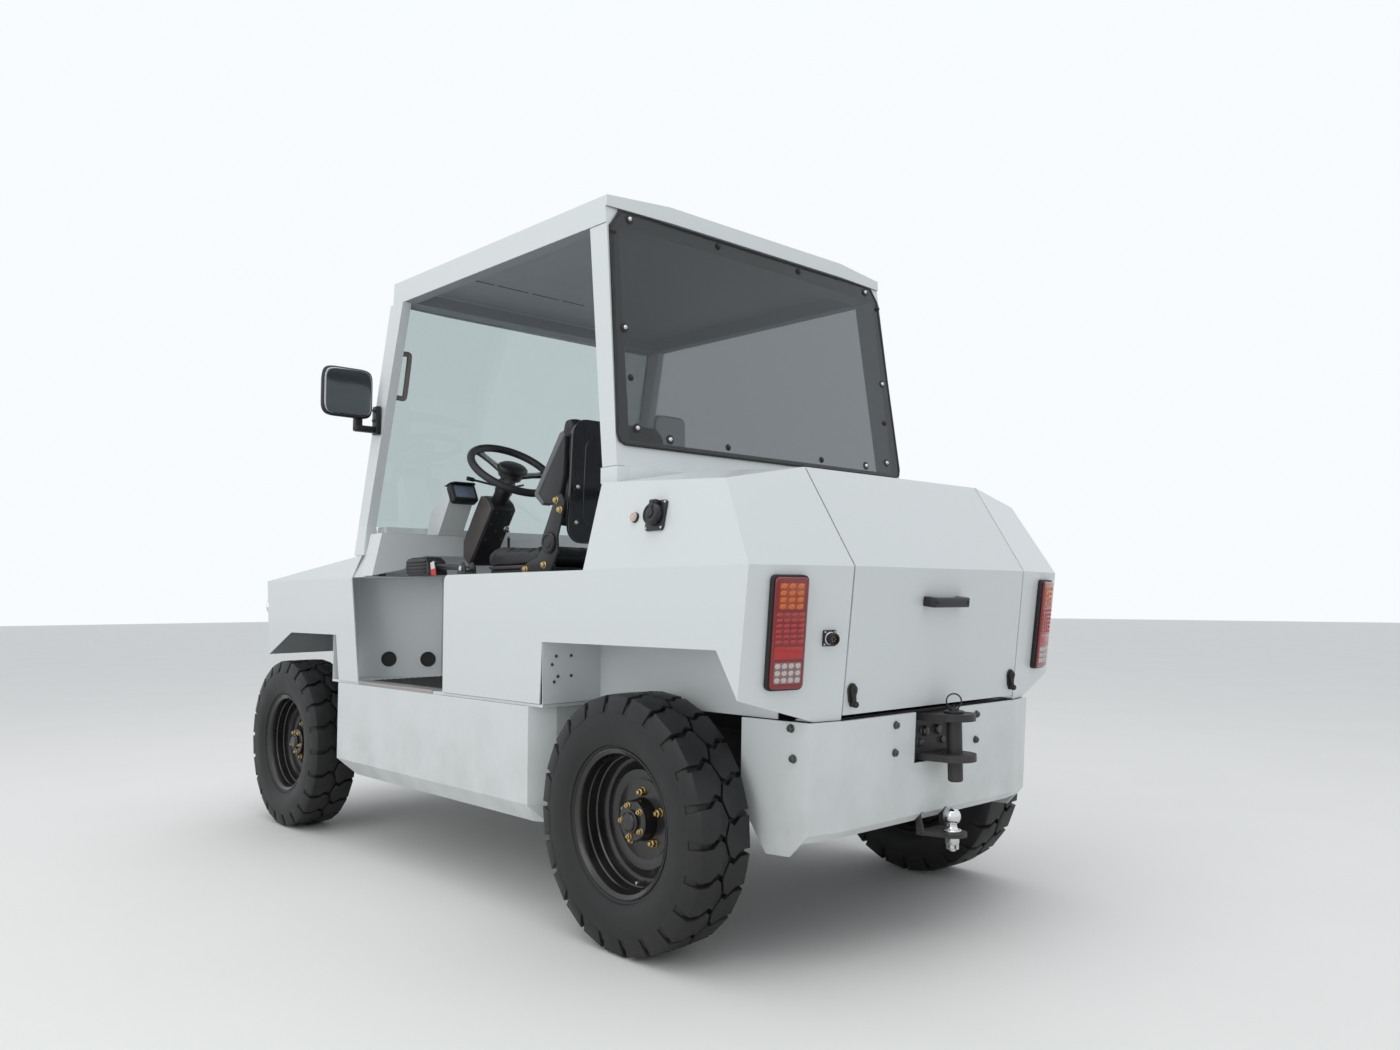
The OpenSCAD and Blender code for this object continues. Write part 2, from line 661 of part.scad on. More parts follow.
bumper_top_z = 654;
bumper_x = 522;
bumper_rake = 0.069;
bumper_y = half_w - 221;
bumper_bevel = 22;
corner_turn = 22;
wing_front_x = -285;
function bumper_at(z) = -bumper_x - bumper_rake*(z - bumper_low_z);
module rear_bumper() color(white) placed() {
  top_x = bumper_at(bumper_top_z);
  edge_x = bumper_at(bumper_low_z);
  low_z = bumper_low_z - bumper_bevel;
  difference() {
    union() {
      sheet([[top_x, fold_y, bumper_top_z], [top_x, -fold_y, bumper_top_z],
        [edge_x, -fold_y, bumper_low_z], [edge_x, fold_y, bumper_low_z]], plate_t);
      // Bevel along the lower edge
      sheet([[edge_x, fold_y, bumper_low_z], [edge_x, -fold_y, bumper_low_z],
        [edge_x + bumper_bevel, -fold_y, low_z], [edge_x + bumper_bevel, fold_y, low_z]], plate_t);
      both() {
        sheet([[top_x, fold_y, bumper_top_z], [edge_x, fold_y, bumper_low_z],
          [edge_x + corner_turn, bumper_y, bumper_low_z],
          [top_x + corner_turn, bumper_y, bumper_top_z]], plate_t);
        sheet([[edge_x + corner_turn, bumper_y, bumper_low_z], [edge_x, fold_y, bumper_low_z],
          [edge_x + bumper_bevel, fold_y, low_z],
          [edge_x + corner_turn + bumper_bevel, bumper_y, low_z]], plate_t);
        // Wing beside the tyre
        sheet([[top_x + corner_turn, bumper_y, bumper_top_z],
          [edge_x + corner_turn, bumper_y, bumper_low_z],
          [-440, bumper_y + 6, 305], [-362, bumper_y + 12, 302], [wing_front_x + 8, bumper_y + 18, 429],
          [wing_front_x, bumper_y + 20, bumper_top_z]], plate_t);
      }
    }
    // Slots in the bevel for the ribs of the ball's plate
    both() block([edge_x - 40, foot_half_y - rib_t - 3, low_z - plate_t],
      [edge_x + 40, foot_half_y + 3, bumper_low_z + 3]);
    // Notch behind the hitch
    block([-600, -107, jaw_low_z - 4], [-480, 107, 700]);
  }
  // Brackets on the ends of the rails
  both() block([bumper_at(rail_z) + 1, rail_in, rail_z + 10], [rail_rear_x, rail_out, rail_top_z - 10]);
}

front_plate_low_z = 365;
front_plate_top_z = 600;
front_plate_y = half_w - 147;
jaw_gap_low = 446;
jaw_gap_high = 520;
jaw_t = 16;
notch_y = 30;
front_pin_x = nose_reach + 2;
front_pin_d = 33;
module front_bumper() color(white) placed() {
  difference() {
    union() {
      block([nose_reach - plate_t, -front_plate_y, front_plate_low_z],
        [nose_reach, front_plate_y, front_plate_top_z]);
      both() block([rail_front_x, rail_in, rail_z + 10],
        [nose_reach - plate_t/2, rail_out, rail_top_z - 10]);
      // Towing jaw: two plates through the bumper
      for (z = [jaw_gap_low - jaw_t, jaw_gap_high])
        block([nose_reach - 60, -55, z], [front_x, 55, z + jaw_t]);
    }
    // Gap between the jaw's plates, and the notch that lets the pin in from above
    block([nose_reach - 40, -45, jaw_gap_low], [nose_reach + eps, 45, jaw_gap_high]);
    block([nose_reach - 40, -notch_y, jaw_gap_high + jaw_t],
      [nose_reach + eps, notch_y, front_plate_top_z + eps]);
    translate([front_pin_x, 0, jaw_gap_low - jaw_t - eps])
      cylinder(d = front_pin_d, h = jaw_gap_high - jaw_gap_low + 2*jaw_t + 2*eps);
  }
}

// Cab

rear_lean = 0.107;
function cab_rear_at(z) = cab_x + rear_lean*(z - 1355);
roof_edge_z = roof_z - 17;
roof_low_z = roof_z - 105;
roof_tilt = 1;
roof_rear_x = 161;
roof_front_x = wheelbase - 785;
roof_crown_x = 14;
ceiling_z = roof_low_z + 50;
lip_z = roof_edge_z - 35;
wall_low_z = 1366;
wall_top_z = 1445;
window_low_z = 1430;
post_head_z = roof_low_z + 9;
post_head_x = roof_rear_x + 85;
window_top_z = lip_z - 2;
module roof_plane() translate([roof_rear_x, 0, roof_edge_z]) rotate([0, -roof_tilt, 0])
  translate([-roof_rear_x, 0, -roof_edge_z]) children();

// Everything above the underside of the roof
module above_roof_line() roof_plane() block([0, -900, roof_low_z], [1900, 900, roof_z + 300]);

module cab_frame() color(white) placed() {
  difference() {
    both() {
      hull() {
        ring(pillar_low, 1);
        ring(pillar_high, 1);
      }
      hull() {
        translate([0, 0, wall_low_z]) linear_extrude(1) polygon([[cab_rear_at(wall_low_z), half_w - 57],
          [cab_x + 70, half_w - 57], [cab_x + 70, half_w - 107], [cab_rear_at(wall_low_z), half_w - 107]]);
        translate([0, 0, post_head_z]) linear_extrude(1) polygon([[cab_rear_at(post_head_z), roof_y],
          [post_head_x, roof_y], [post_head_x, roof_y - 42], [cab_rear_at(post_head_z), roof_y - 42]]);
      }
    }
    above_roof_line();
  }
  // Wall under the rear window
  foot_z = deck_at(cab_x);
  foot = cab_rear_at(foot_z);
  head = cab_rear_at(wall_top_z);
  y = half_w - 87;
  sheet([[head, y, wall_top_z], [head, -y, wall_top_z], [foot, -y, foot_z], [foot, y, foot_z]], sheet_t);
  // Strip of deck ahead of the lid, with the hinges' fixed knuckles
  difference() {
    union() {
      rear_x = hinge_x + 12;
      front_x = cab_x + 2;
      sheet([[front_x, lid_y, deck_at(front_x)], [front_x, -lid_y, deck_at(front_x)],
        [rear_x, -lid_y, deck_at(rear_x)], [rear_x, lid_y, deck_at(rear_x)]], sheet_t);
      both() {
        block([hinge_x, cab_knuckle[0], hinge_z - 2], [hinge_x + 30, cab_knuckle[1], hinge_z + 3]);
        translate([hinge_x, cab_knuckle[1], hinge_z]) rotate([90, 0, 0])
          cylinder(d = hinge_d, h = cab_knuckle[1] - cab_knuckle[0]);
      }
    }
    lid_hinge_pin(hinge_pin_d);
  }
}

module roof() color(white) placed() {
  difference() {
    roof_plane() difference() {
      intersection() {
        translate([roof_rear_x - roof_crown_x, 0, 0]) rotate([90, 0, 90])
          linear_extrude(roof_front_x - roof_rear_x + 2*roof_crown_x)
          polygon([[-roof_y - 2, roof_low_z], [-roof_y, roof_edge_z], [-fold_y, roof_z],
            [fold_y, roof_z], [roof_y, roof_edge_z], [roof_y + 2, roof_low_z]]);
        translate([0, 0, roof_low_z - eps]) linear_extrude(roof_z - roof_low_z + 2*eps)
          polygon([[roof_rear_x, -roof_y - 2], [roof_rear_x - roof_crown_x, -fold_y],
            [roof_rear_x - roof_crown_x, fold_y], [roof_rear_x, roof_y + 2], [roof_front_x, roof_y + 2],
            [roof_front_x + roof_crown_x, fold_y], [roof_front_x + roof_crown_x, -fold_y],
            [roof_front_x, -roof_y - 2]]);
      }
      block([roof_rear_x + 89, 48 - roof_y, roof_low_z - 20], [roof_front_x - 95, roof_y - 48, ceiling_z]);
    }
    // The rear window lies against the roof below its lip
    side_profile(-half_w, half_w) polygon([[cab_x, roof_low_z - 119],
      [cab_rear_at(roof_low_z - 119), roof_low_z - 119], [cab_rear_at(lip_z), lip_z], [cab_x, lip_z]]);
  }
}

module windshield() color("#b9d0cc") placed() {
  low = [pillar_low[1] - 24, pillar_low[4] - 0.4, pillar_low[0] + 2];
  top = [pillar_high[1] - 24, pillar_high[4] - 0.4, pillar_high[0]];
  difference() {
    sheet([low, [low.x, -low.y, low.z], [top.x, -top.y, top.z], top], pane_t);
    above_roof_line();
  }
}

module rear_window() color("#3c4046") placed() {
  low = cab_rear_at(window_low_z) - pane_t - seat_gap;
  top = cab_rear_at(window_top_z) - pane_t - seat_gap;
  mid_z = window_top_z - 58;
  mid = cab_rear_at(mid_z) - pane_t - seat_gap;
  top_w = roof_y - 51;
  mid_w = roof_y - 6;
  low_w = half_w - 63;
  foot_w = half_w - 87;
  sheet([[top, top_w, window_top_z], [top, -top_w, window_top_z], [mid, -mid_w, mid_z],
    [low + 3, -low_w, window_low_z + 26], [low, -foot_w, window_low_z],
    [low, foot_w, window_low_z], [low + 3, low_w, window_low_z + 26], [mid, mid_w, mid_z]], pane_t);
}

// Shelf under the windshield, with the pod of the display
cowl_x = wheelbase - 780;
cowl_low_z = shelf_z + sheet_t;
cowl_top_z = 1236;
cowl_top_y = side_at(cowl_top_z) - 10;
// Half of the shelf seen from behind, from its top down the side and back to the middle
cowl_edge = [[cowl_top_y, cowl_top_z], [half_w - 10, cowl_low_z], [half_w - 140, cowl_low_z + 26],
  [half_w - 235, cowl_low_z + 83]];
cowl_y = half_w - 117;
cowl_gap = 0.7;
pod_y = 400;
pod_w = 110;
pod_h = 188;
module cowl() color(white) placed() {
  translate([cowl_x, 0, 0]) rotate([90, 0, 90]) linear_extrude(pillar_foot[2] - cowl_x - 2)
    polygon(concat(cowl_edge, [for (i = [len(cowl_edge) - 1 : -1 : 0]) [-cowl_edge[i].x, cowl_edge[i].y]]));
  block([pillar_foot[2] - 4, -cowl_y, cowl_low_z], [hood_rear_x - cowl_gap, cowl_y, cowl_top_z]);
  // Upstand that carries the windshield
  block([hood_rear_x - 60, -cowl_y, cowl_top_z - eps], [hood_rear_x + 20, cowl_y, pillar_low[0]]);
  side_profile(pod_y - pod_w/2, pod_y + pod_w/2) translate([cowl_x, cowl_top_z]) polygon([
    [-90, pod_h - 44], [-70, pod_h], [60, pod_h - 94], [100, -eps], [1, -eps], [-40, pod_h/3]]);
}

// Steering column and wheel

column_tilt = 37;
helm_x = wheelbase - 1050;
helm_z = shelf_z + 428;
helm_rim_d = 28;
shaft_d = 24;
module at_helm() translate([helm_x, seat_y, helm_z]) rotate([0, -column_tilt, 0]) children();
module steering_column() color(dark) placed() difference() {
  at_helm() {
    translate([0, 0, -150]) cylinder(d = shaft_d - 0.12, h = 146);
    translate([0, 0, -190]) cylinder(d = 64, h = 150);
    translate([-50, -60, -440]) cube([100, 120, 285]);
  }
  // The shelf under the windshield
  block([cowl_x - seat_gap, 0, floor_z], [firewall_x, 2*seat_y, helm_z]);
}
module steering_wheel() color(black) placed() at_helm() {
  rotate_extrude() translate([helm_d/2 - helm_rim_d/2, 0]) circle(d = helm_rim_d);
  for (a = [30, 150, 270]) rotate(a) translate([20, -16, -16]) cube([helm_d/2 - 38, 32, 8]);
  difference() {
    translate([0, 0, -30]) cylinder(d = 100, h = 34);
    translate([0, 0, -30 - eps]) cylinder(d = shaft_d, h = 28 + eps);
  }
}

// Driver's seat

seat_w = 444;
seat_x = platform_x - 340;
cushion_z = platform_z + 68;
cushion_t = 87;
back_h = 405;
back_z = cushion_z + cushion_t + 10;
arm_y = seat_w/2 + 9;
module at_seat(side) placed() translate([seat_x, seat_y + side, 0]) children();
module seat_frame() color(black) {
  at_seat(0) block([0, 22 - seat_w/2, platform_z], [330, seat_w/2 - 22, cushion_z]);
  // Side arms that carry the backrest, each with a bracket on the frame
  for (s = [-1, 1]) at_seat(s*arm_y) {
    hull() {
      translate([35, 0, cushion_z - 33]) rotate([90, 0, 0])
        cylinder(d = 60, h = 10, center = true, $fn = 32);
      translate([0, 0, back_z + 115]) rotate([90, 0, 0])
        cylinder(d = 40, h = 10, center = true, $fn = 32);
    }
    block([15, min(0, -s*36), platform_z + 12], [100, max(0, -s*36), cushion_z - 10]);
  }
}
module seat_cushion() color(black)
  at_seat(0) block([45, -seat_w/2, cushion_z + seat_gap], [450, seat_w/2, cushion_z + cushion_t]);
module seat_back() color(black)
  at_seat(0) side_profile(-arm_y + 5 + seat_gap, arm_y - 5 - seat_gap) translate([0, back_z])
    polygon([[35, 0], [-50, back_h], [-120, back_h], [-90, 25], [-20, 0]]);

function pillar_share(z) = (z - pillar_low[0])/(pillar_high[0] - pillar_low[0]);
function pillar_in_at(z) = pillar_low[4] + (pillar_high[4] - pillar_low[4])*pillar_share(z);
function pillar_out_at(z) = pillar_low[3] + (pillar_high[3] - pillar_low[3])*pillar_share(z);
grip_low_z = 1786;
grip_high_z = 1953;
grip_y = pillar_in_at(grip_high_z) - 45;
brake_y = half_w - 107;
pedal_x = wheelbase - 760;
pedal_z = floor_z + 65;
pedal_w = 80;
function firewall_at(y) = firewall_path[5].x
  + (firewall_path[4].x - firewall_path[5].x)*y/firewall_path[4].y;
module driver_controls() color(black) placed() {
  // Parking brake: bracket on the seat platform, lever and ribbed grip by the door
  block([platform_x - 65, brake_y - 25, platform_z], [platform_x - 15, brake_y + 25, platform_z + 55]);
  bar([platform_x - 30, brake_y, platform_z + 40], [platform_x + 160, brake_y + 5, platform_z + 45], 22);
  block([platform_x + 150, brake_y - 40, platform_z + 12],
    [platform_x + 330, brake_y + 50, platform_z + 80]);
  // Pedals on arms from the firewall
  for (y = [190, 320]) {
    block([pedal_x, y - pedal_w/2, pedal_z], [pedal_x + 12, y + pedal_w/2, pedal_z + pedal_w]);
    bar([pedal_x + 10, y, pedal_z + 60], [firewall_at(y) - 2*seat_gap, y, pedal_z + 60], 16);
  }
  // Grab handle on the left front pillar
  low_x = wheelbase - 752;
  high_x = wheelbase - 790;
  for (p = [[low_x, grip_low_z], [high_x, grip_high_z]])
    bar([p[0], pillar_in_at(p[1]) - 0.8, p[1]], [p[0], grip_y - 6, p[1]], 24);
  bar([low_x, grip_y, grip_low_z - 6], [high_x, grip_y, grip_high_z + 7], 22);
}

// Mirrors, lamps and sockets

mirror_foot_z = 1630;
mirror_low = [wheelbase - 750, half_w - 24, mirror_foot_z + 45];
mirror_high = mirror_low + [60, 219, 210];
module mirrors() color(black) placed() both() {
  block(mirror_low, mirror_high);
  block([mirror_low.x + 5, pillar_out_at(mirror_foot_z) + seat_gap, mirror_foot_z],
    [mirror_low.x + 35, mirror_low.y + 1, mirror_foot_z + 110]);
}

lamp_low = [half_w - 180, 744];
lamp_high = [half_w - 67, 1037];
lamp_mid = (lamp_low + lamp_high)/2;
lamp_size = lamp_high - lamp_low;
module tail_lamps() color("#b3202a") placed() both()
  facing([corner_at(lamp_mid.x, lamp_mid.y), lamp_mid.x, lamp_mid.y], corner_normal)
  translate([-lamp_size.x/2, -lamp_size.y/2, 0]) cube([lamp_size.x, lamp_size.y, 24]);

head_lamp_y = half_w - 80;
head_lamp_z = 950;
head_lamp_d = 120;
head_lamp_h = 55;
module head_lamps() color("#d8dcdc") placed() both()
  facing([nose_at(head_lamp_y, head_lamp_z), head_lamp_y, head_lamp_z], nose_normal)
  translate([0, 0, 0.1]) {
    cylinder(d = head_lamp_d - 12, h = head_lamp_h);
    translate([0, 0, head_lamp_h - 16]) cylinder(d = head_lamp_d, h = 12);
  }

// Charging socket and button on the left side, and the trailer's plug socket at the tail
socket_x = -131;
socket_z = 1203;
button_x = -37;
plug_y = (fold_y + lamp_low.x)/2 - 9;
plug_z = 873;
plug_w = 42;
module side_sockets() color(black) placed() {
  facing([corner_at(plug_y, plug_z), plug_y, plug_z], corner_normal) {
    block([-plug_w/2, -plug_w/2, 0], [plug_w/2, plug_w/2, 5]);
    cylinder(d = plug_w - 10, h = 28);
  }
  facing([socket_x, side_at(socket_z), socket_z], side_normal) {
    block([-38, -43, 0], [38, 43, 8]);
    cylinder(d = 62, h = 34);
  }
  facing([button_x, side_at(socket_z), socket_z], side_normal) cylinder(d = 30, h = 14);
}

// Hitch

jaw_pin_x = -596;
jaw_half_y = 74;
jaw_r = jaw_x + jaw_pin_x;
// Undersides of the jaw's two plates
jaw_low_z = 515;
jaw_high_z = 628;
hitch_t = 20;
ball_plate_z = 302;
ball_plate_t = 12;
ball_plate_r = 41;
ball_z = 357;
ball_x = -582;
stud_d = 19;
foot_half_y = 62;
rib_t = 10;
back_low_z = bumper_low_z + 7;
back_half_y = 100;
back_plate_t = 11;
module hitch_bracket() color(black) placed() {
  difference() {
    union() {
      for (z = [jaw_low_z, jaw_high_z]) translate([0, 0, z]) {
        linear_extrude(hitch_t) polygon([[hitch_face_x, -jaw_half_y], [hitch_face_x, jaw_half_y],
          [jaw_pin_x, jaw_r], [jaw_pin_x, -jaw_r]]);
        translate([jaw_pin_x, 0, 0]) cylinder(r = jaw_r, h = hitch_t);
      }
      // Back plate behind the bumper
      translate([hitch_face_x, 0, 0]) rotate([90, 0, -90]) linear_extrude(back_plate_t) polygon([
        [-foot_half_y, back_low_z], [foot_half_y, back_low_z],
        [back_half_y, jaw_low_z], [back_half_y, jaw_high_z + hitch_t],
        [-back_half_y, jaw_high_z + hitch_t], [-back_half_y, jaw_low_z]]);
      // Plate of the ball, hung from two ribs that pass through the bumper's bevel
      translate([0, 0, ball_plate_z]) {
        linear_extrude(ball_plate_t) polygon([[hitch_face_x, -foot_half_y], [hitch_face_x, foot_half_y],
          [ball_x, ball_plate_r], [ball_x, -ball_plate_r]]);
        translate([ball_x, 0, 0]) cylinder(r = ball_plate_r, h = ball_plate_t);
      }
      rib_h = back_low_z + 30 - ball_plate_z;
      both() side_profile(foot_half_y - rib_t, foot_half_y) translate([hitch_face_x, ball_plate_z])
        polygon([[0, 0], [0, rib_h], [-back_plate_t, rib_h], [-back_plate_t, 58],
          [-24, ball_plate_t], [-24, 0]]);
    }
    translate([jaw_pin_x, 0, jaw_low_z - eps])
      cylinder(d = pin_d + 1, h = jaw_high_z + hitch_t - jaw_low_z + 2*eps);
    translate([ball_x, 0, ball_plate_z - eps]) cylinder(d = stud_d + 1, h = ball_plate_t + 2*eps);
  }
}
pin_low_z = 456;
module hitch_pin() color(steel) placed() translate([jaw_pin_x, 0, 0]) {
  collar_z = jaw_high_z + hitch_t + seat_gap;
  translate([0, 0, pin_low_z]) cylinder(d = pin_d, h = collar_z - pin_low_z + 1);
  translate([0, 0, collar_z]) cylinder(d = pin_d + 14, h = 7);
  translate([0, 0, collar_z + 6]) cylinder(d = pin_d - 14, h = 9);
}
// Ball with its neck and foot, the stud through the plate, and the nut under it
module tow_ball() color(chrome) placed() translate([ball_x, 0, 0]) {
  foot_z = ball_plate_z + ball_plate_t;
  translate([0, 0, ball_z]) sphere(d = ball_d);
  translate([0, 0, foot_z]) cylinder(d = 27, h = ball_z - foot_z - ball_d/2 + 6);
  translate([0, 0, foot_z]) cylinder(d = 52, h = 7);
  translate([0, 0, ball_plate_z - 42]) cylinder(d = stud_d, h = 42 + ball_plate_t + 2);
  translate([0, 0, ball_plate_z - 30]) cylinder(d = 42, h = 30);
}

chassis_frame();
rear_axle();
front_axle();
battery_block();
floor_plate();
floor_mat();
firewall();
seat_platform();
rear_side_left();
rear_side_right();
tail_lid();
lid_fittings();
front_fenders();
hood();
nose_panel();
step_boxes();
rear_bumper();
front_bumper();
cab_frame();
roof();
windshield();
rear_window();
cowl();
steering_column();
steering_wheel();
seat_frame();
seat_cushion();
seat_back();
driver_controls();
mirrors();
tail_lamps();
head_lamps();
side_sockets();
hitch_bracket();
hitch_pin();
tow_ball();
knuckle_left();
knuckle_right();
tie_rod();
rim_front_left();
rim_front_right();
rim_rear_left();
rim_rear_right();
tyre_front_left();
tyre_front_right();
tyre_rear_left();
tyre_rear_right();
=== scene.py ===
# Airport baggage tug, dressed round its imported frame. Places are written in millimetres
# from the ground under the rear axle, X forward, Y to the driver's left, Z up.
import json
import math
import bmesh
import bpy
from mathutils import Matrix, Vector

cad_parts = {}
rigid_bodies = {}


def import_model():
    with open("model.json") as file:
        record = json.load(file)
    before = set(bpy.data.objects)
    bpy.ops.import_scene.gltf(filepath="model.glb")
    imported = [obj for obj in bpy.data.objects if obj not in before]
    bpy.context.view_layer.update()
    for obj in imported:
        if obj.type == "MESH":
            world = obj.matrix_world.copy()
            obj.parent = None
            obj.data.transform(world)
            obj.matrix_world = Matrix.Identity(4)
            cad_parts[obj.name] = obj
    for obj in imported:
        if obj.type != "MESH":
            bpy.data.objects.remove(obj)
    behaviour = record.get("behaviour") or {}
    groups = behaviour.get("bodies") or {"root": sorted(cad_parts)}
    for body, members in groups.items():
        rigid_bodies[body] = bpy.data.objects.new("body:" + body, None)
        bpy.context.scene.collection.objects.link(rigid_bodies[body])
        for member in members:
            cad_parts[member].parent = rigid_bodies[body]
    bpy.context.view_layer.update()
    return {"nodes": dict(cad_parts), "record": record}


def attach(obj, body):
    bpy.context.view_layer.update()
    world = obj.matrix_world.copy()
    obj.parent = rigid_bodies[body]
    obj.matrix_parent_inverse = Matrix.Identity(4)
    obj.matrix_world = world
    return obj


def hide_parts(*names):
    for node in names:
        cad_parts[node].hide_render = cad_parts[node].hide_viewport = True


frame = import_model()

# Studio: a pale floor, light like an overcast sky, and the camera where the
# photographer stood, low behind the left rear wheel.
AXLE_TO_MIDDLE = 1074.5


def spot(x, y, z):
    """Millimetres from the rear axle's ground point, as metres in the frame."""
    return Vector(((x - AXLE_TO_MIDDLE) / 1000, y / 1000, z / 1000))


def fill(node, **values):
    """Sets a node's inputs by name."""
    for key, value in values.items():
        node.inputs[key.replace("_", " ")].default_value = value


def turn_by(degrees, axis):
    """Rotation about one axis."""
    return Matrix.Rotation(math.radians(degrees), 4, axis)


def finish_material(name, colour, roughness, metallic=0.0, **values):
    """A material with its shader's plain values set; returns material, tree and shader."""
    material = bpy.data.materials.new(name)
    material.use_nodes = True
    tree = material.node_tree
    shader = tree.nodes["Principled BSDF"]
    fill(shader, Base_Color=(*colour, 1), Roughness=roughness, Metallic=metallic, **values)
    material.diffuse_color = (*colour, 1)
    return material, tree, shader


def add_node(tree, kind, **values):
    """A node with its properties (set_...) and its inputs set by name."""
    made = tree.nodes.new(kind)
    for key in [key for key in values if key.startswith("set_")]:
        setattr(made, key[4:], values.pop(key))
    fill(made, **values)
    return made


def wire(source, out, target, into):
    """Links one node's output to another's input."""
    target.id_data.links.new(source.outputs[out], target.inputs[into])


def textured(tree, kind="ShaderNodeTexNoise", **values):
    """A texture over the object's own coordinates."""
    here = tree.nodes.new("ShaderNodeTexCoord")
    made = add_node(tree, kind, **values)
    wire(here, "Object", made, "Vector")
    return made


def blend(tree, texture, output, first, second, shader):
    """Base colour that a texture blends from one colour to another."""
    mixed = add_node(tree, "ShaderNodeMix", set_data_type="RGBA", A=(*first, 1), B=(*second, 1))
    wire(texture, output, mixed, "Factor")
    wire(mixed, "Result", shader, "Base Color")


concrete, tree, shader = finish_material("pale_floor", (0.72, 0.72, 0.71), 0.75)
cloud = textured(tree, Scale=1.3, Detail=5.0)
blend(tree, cloud, "Fac", (0.83, 0.83, 0.82), (0.88, 0.88, 0.87), shader)
bpy.ops.mesh.primitive_plane_add(size=90)
floor = bpy.context.object
floor.name = "studio_floor"
floor.data.materials.append(concrete)

sky = bpy.data.worlds.new("overcast")
bpy.context.scene.world = sky
sky.use_nodes = True
tree = sky.node_tree
backdrop = tree.nodes["Background"]
backdrop.inputs["Color"].default_value = (0.94, 0.97, 1.0, 1)
rays = tree.nodes.new("ShaderNodeLightPath")
lit = rays, "Is Camera Ray"
for kind_of_ray in ("Is Glossy Ray", "Is Transmission Ray"):
    seen = add_node(tree, "ShaderNodeMath", set_operation="MAXIMUM")
    wire(*lit, seen, 0)
    wire(rays, kind_of_ray, seen, 1)
    lit = seen, 0
glow = add_node(tree, "ShaderNodeMapRange", To_Min=0.68, To_Max=1.0)
wire(*lit, glow, "Value")
wire(glow, "Result", backdrop, "Strength")

for name, place_at, aim, size, power in (
        ("cloud_overhead", (-0.6, 0.8, 6.0), (0, 0, 0.6), 7.0, 130),
        ("bright_side", (-1.5, 6.5, 3.4), (0, 0, 1.0), 4.0, 70)):
    lamp = bpy.data.lights.new(name, "AREA")
    lamp.energy = power
    lamp.size = size
    lamp.color = (1.0, 0.985, 0.965)
    holder = bpy.data.objects.new(name, lamp)
    holder.location = place_at
    holder.rotation_euler = (Vector(aim) - Vector(place_at)).to_track_quat("-Z", "Y").to_euler()
    bpy.context.collection.objects.link(holder)

CAMERA_PLACE = (-3.4162, 2.6161, 0.9743)
FILM_WIDTH, FOCAL_LENGTH = 36, 27.32
YAW, PITCH, ROLL = -0.75018, 0.069635, -0.002542
ahead = Vector((math.cos(PITCH) * math.cos(YAW), math.cos(PITCH) * math.sin(YAW), math.sin(PITCH)))
level = ahead.cross(Vector((0, 0, 1))).normalized()
crown = level.cross(ahead)
rightward = level * math.cos(ROLL) + crown * math.sin(ROLL)
upward = crown * math.cos(ROLL) - level * math.sin(ROLL)
lens = bpy.data.cameras.new("photographer")
lens.sensor_width = FILM_WIDTH
lens.lens = FOCAL_LENGTH
photographer = bpy.data.objects.new("photographer", lens)
bpy.context.collection.objects.link(photographer)
stance = Matrix((rightward, upward, -ahead)).transposed().to_4x4()
stance.translation = CAMERA_PLACE
photographer.matrix_world = stance
bpy.context.scene.camera = photographer
bpy.context.scene.view_settings.view_transform = "Standard"

# White body: cab, panels, bumpers and step boxes. Folded sheet steel with eased bends,
# sprayed cool white; the paint has a faint orange peel and a film of road dust low down.


def new_group(name, kind, inputs, outputs):
    """A node group with its sockets; returns group, input node and output node."""
    group = bpy.data.node_groups.new(name, kind)
    for way, sockets in (("INPUT", inputs), ("OUTPUT", outputs)):
        for title, socket, *value in sockets:
            made = group.interface.new_socket(title, in_out=way, socket_type="NodeSocket" + socket)
            if value:
                made.default_value = value[0]
    return group, group.nodes.new("NodeGroupInput"), group.nodes.new("NodeGroupOutput")


def road_film():
    """Node group: how much dust lies on a point, more towards the ground."""
    group, enter, leave = new_group(
        "road_film", "ShaderNodeTree",
        (("Clean Height", "Float", 0.75), ("Dirty Height", "Float", 0.2), ("Patch Scale", "Float", 7.0)),
        (("Film", "Float"),))
    here = group.nodes.new("ShaderNodeTexCoord")
    split = group.nodes.new("ShaderNodeSeparateXYZ")
    rise = group.nodes.new("ShaderNodeMapRange")
    patches = add_node(group, "ShaderNodeTexNoise", Detail=6.0, Roughness=0.6)
    spread = add_node(group, "ShaderNodeMapRange", From_Min=0.35, From_Max=0.7, To_Min=0.15)
    both = add_node(group, "ShaderNodeMath", set_operation="MULTIPLY")
    wire(here, "Object", split, 0)
    wire(split, "Z", rise, "Value")
    wire(enter, "Clean Height", rise, "From Min")
    wire(enter, "Dirty Height", rise, "From Max")
    wire(here, "Object", patches, "Vector")
    wire(enter, "Patch Scale", patches, "Scale")
    wire(patches, "Fac", spread, "Value")
    wire(rise, "Result", both, 0)
    wire(spread, "Result", both, 1)
    wire(both, 0, leave, "Film")
    return group


def fine_skin():
    """Node group: a bumped normal of fine grain, such as orange peel or moulded texture."""
    group, enter, leave = new_group(
        "fine_skin", "ShaderNodeTree",
        (("Grain Scale", "Float", 300.0), ("Strength", "Float", 0.1), ("Depth", "Float", 0.0004)),
        (("Normal", "Vector"),))
    grain = textured(group, Detail=2.0)
    raised = group.nodes.new("ShaderNodeBump")
    wire(enter, "Grain Scale", grain, "Scale")
    wire(grain, "Fac", raised, "Height")
    wire(enter, "Strength", raised, "Strength")
    wire(enter, "Depth", raised, "Distance")
    wire(raised, "Normal", leave, "Normal")
    return group


film_group = road_film()
skin_group = fine_skin()


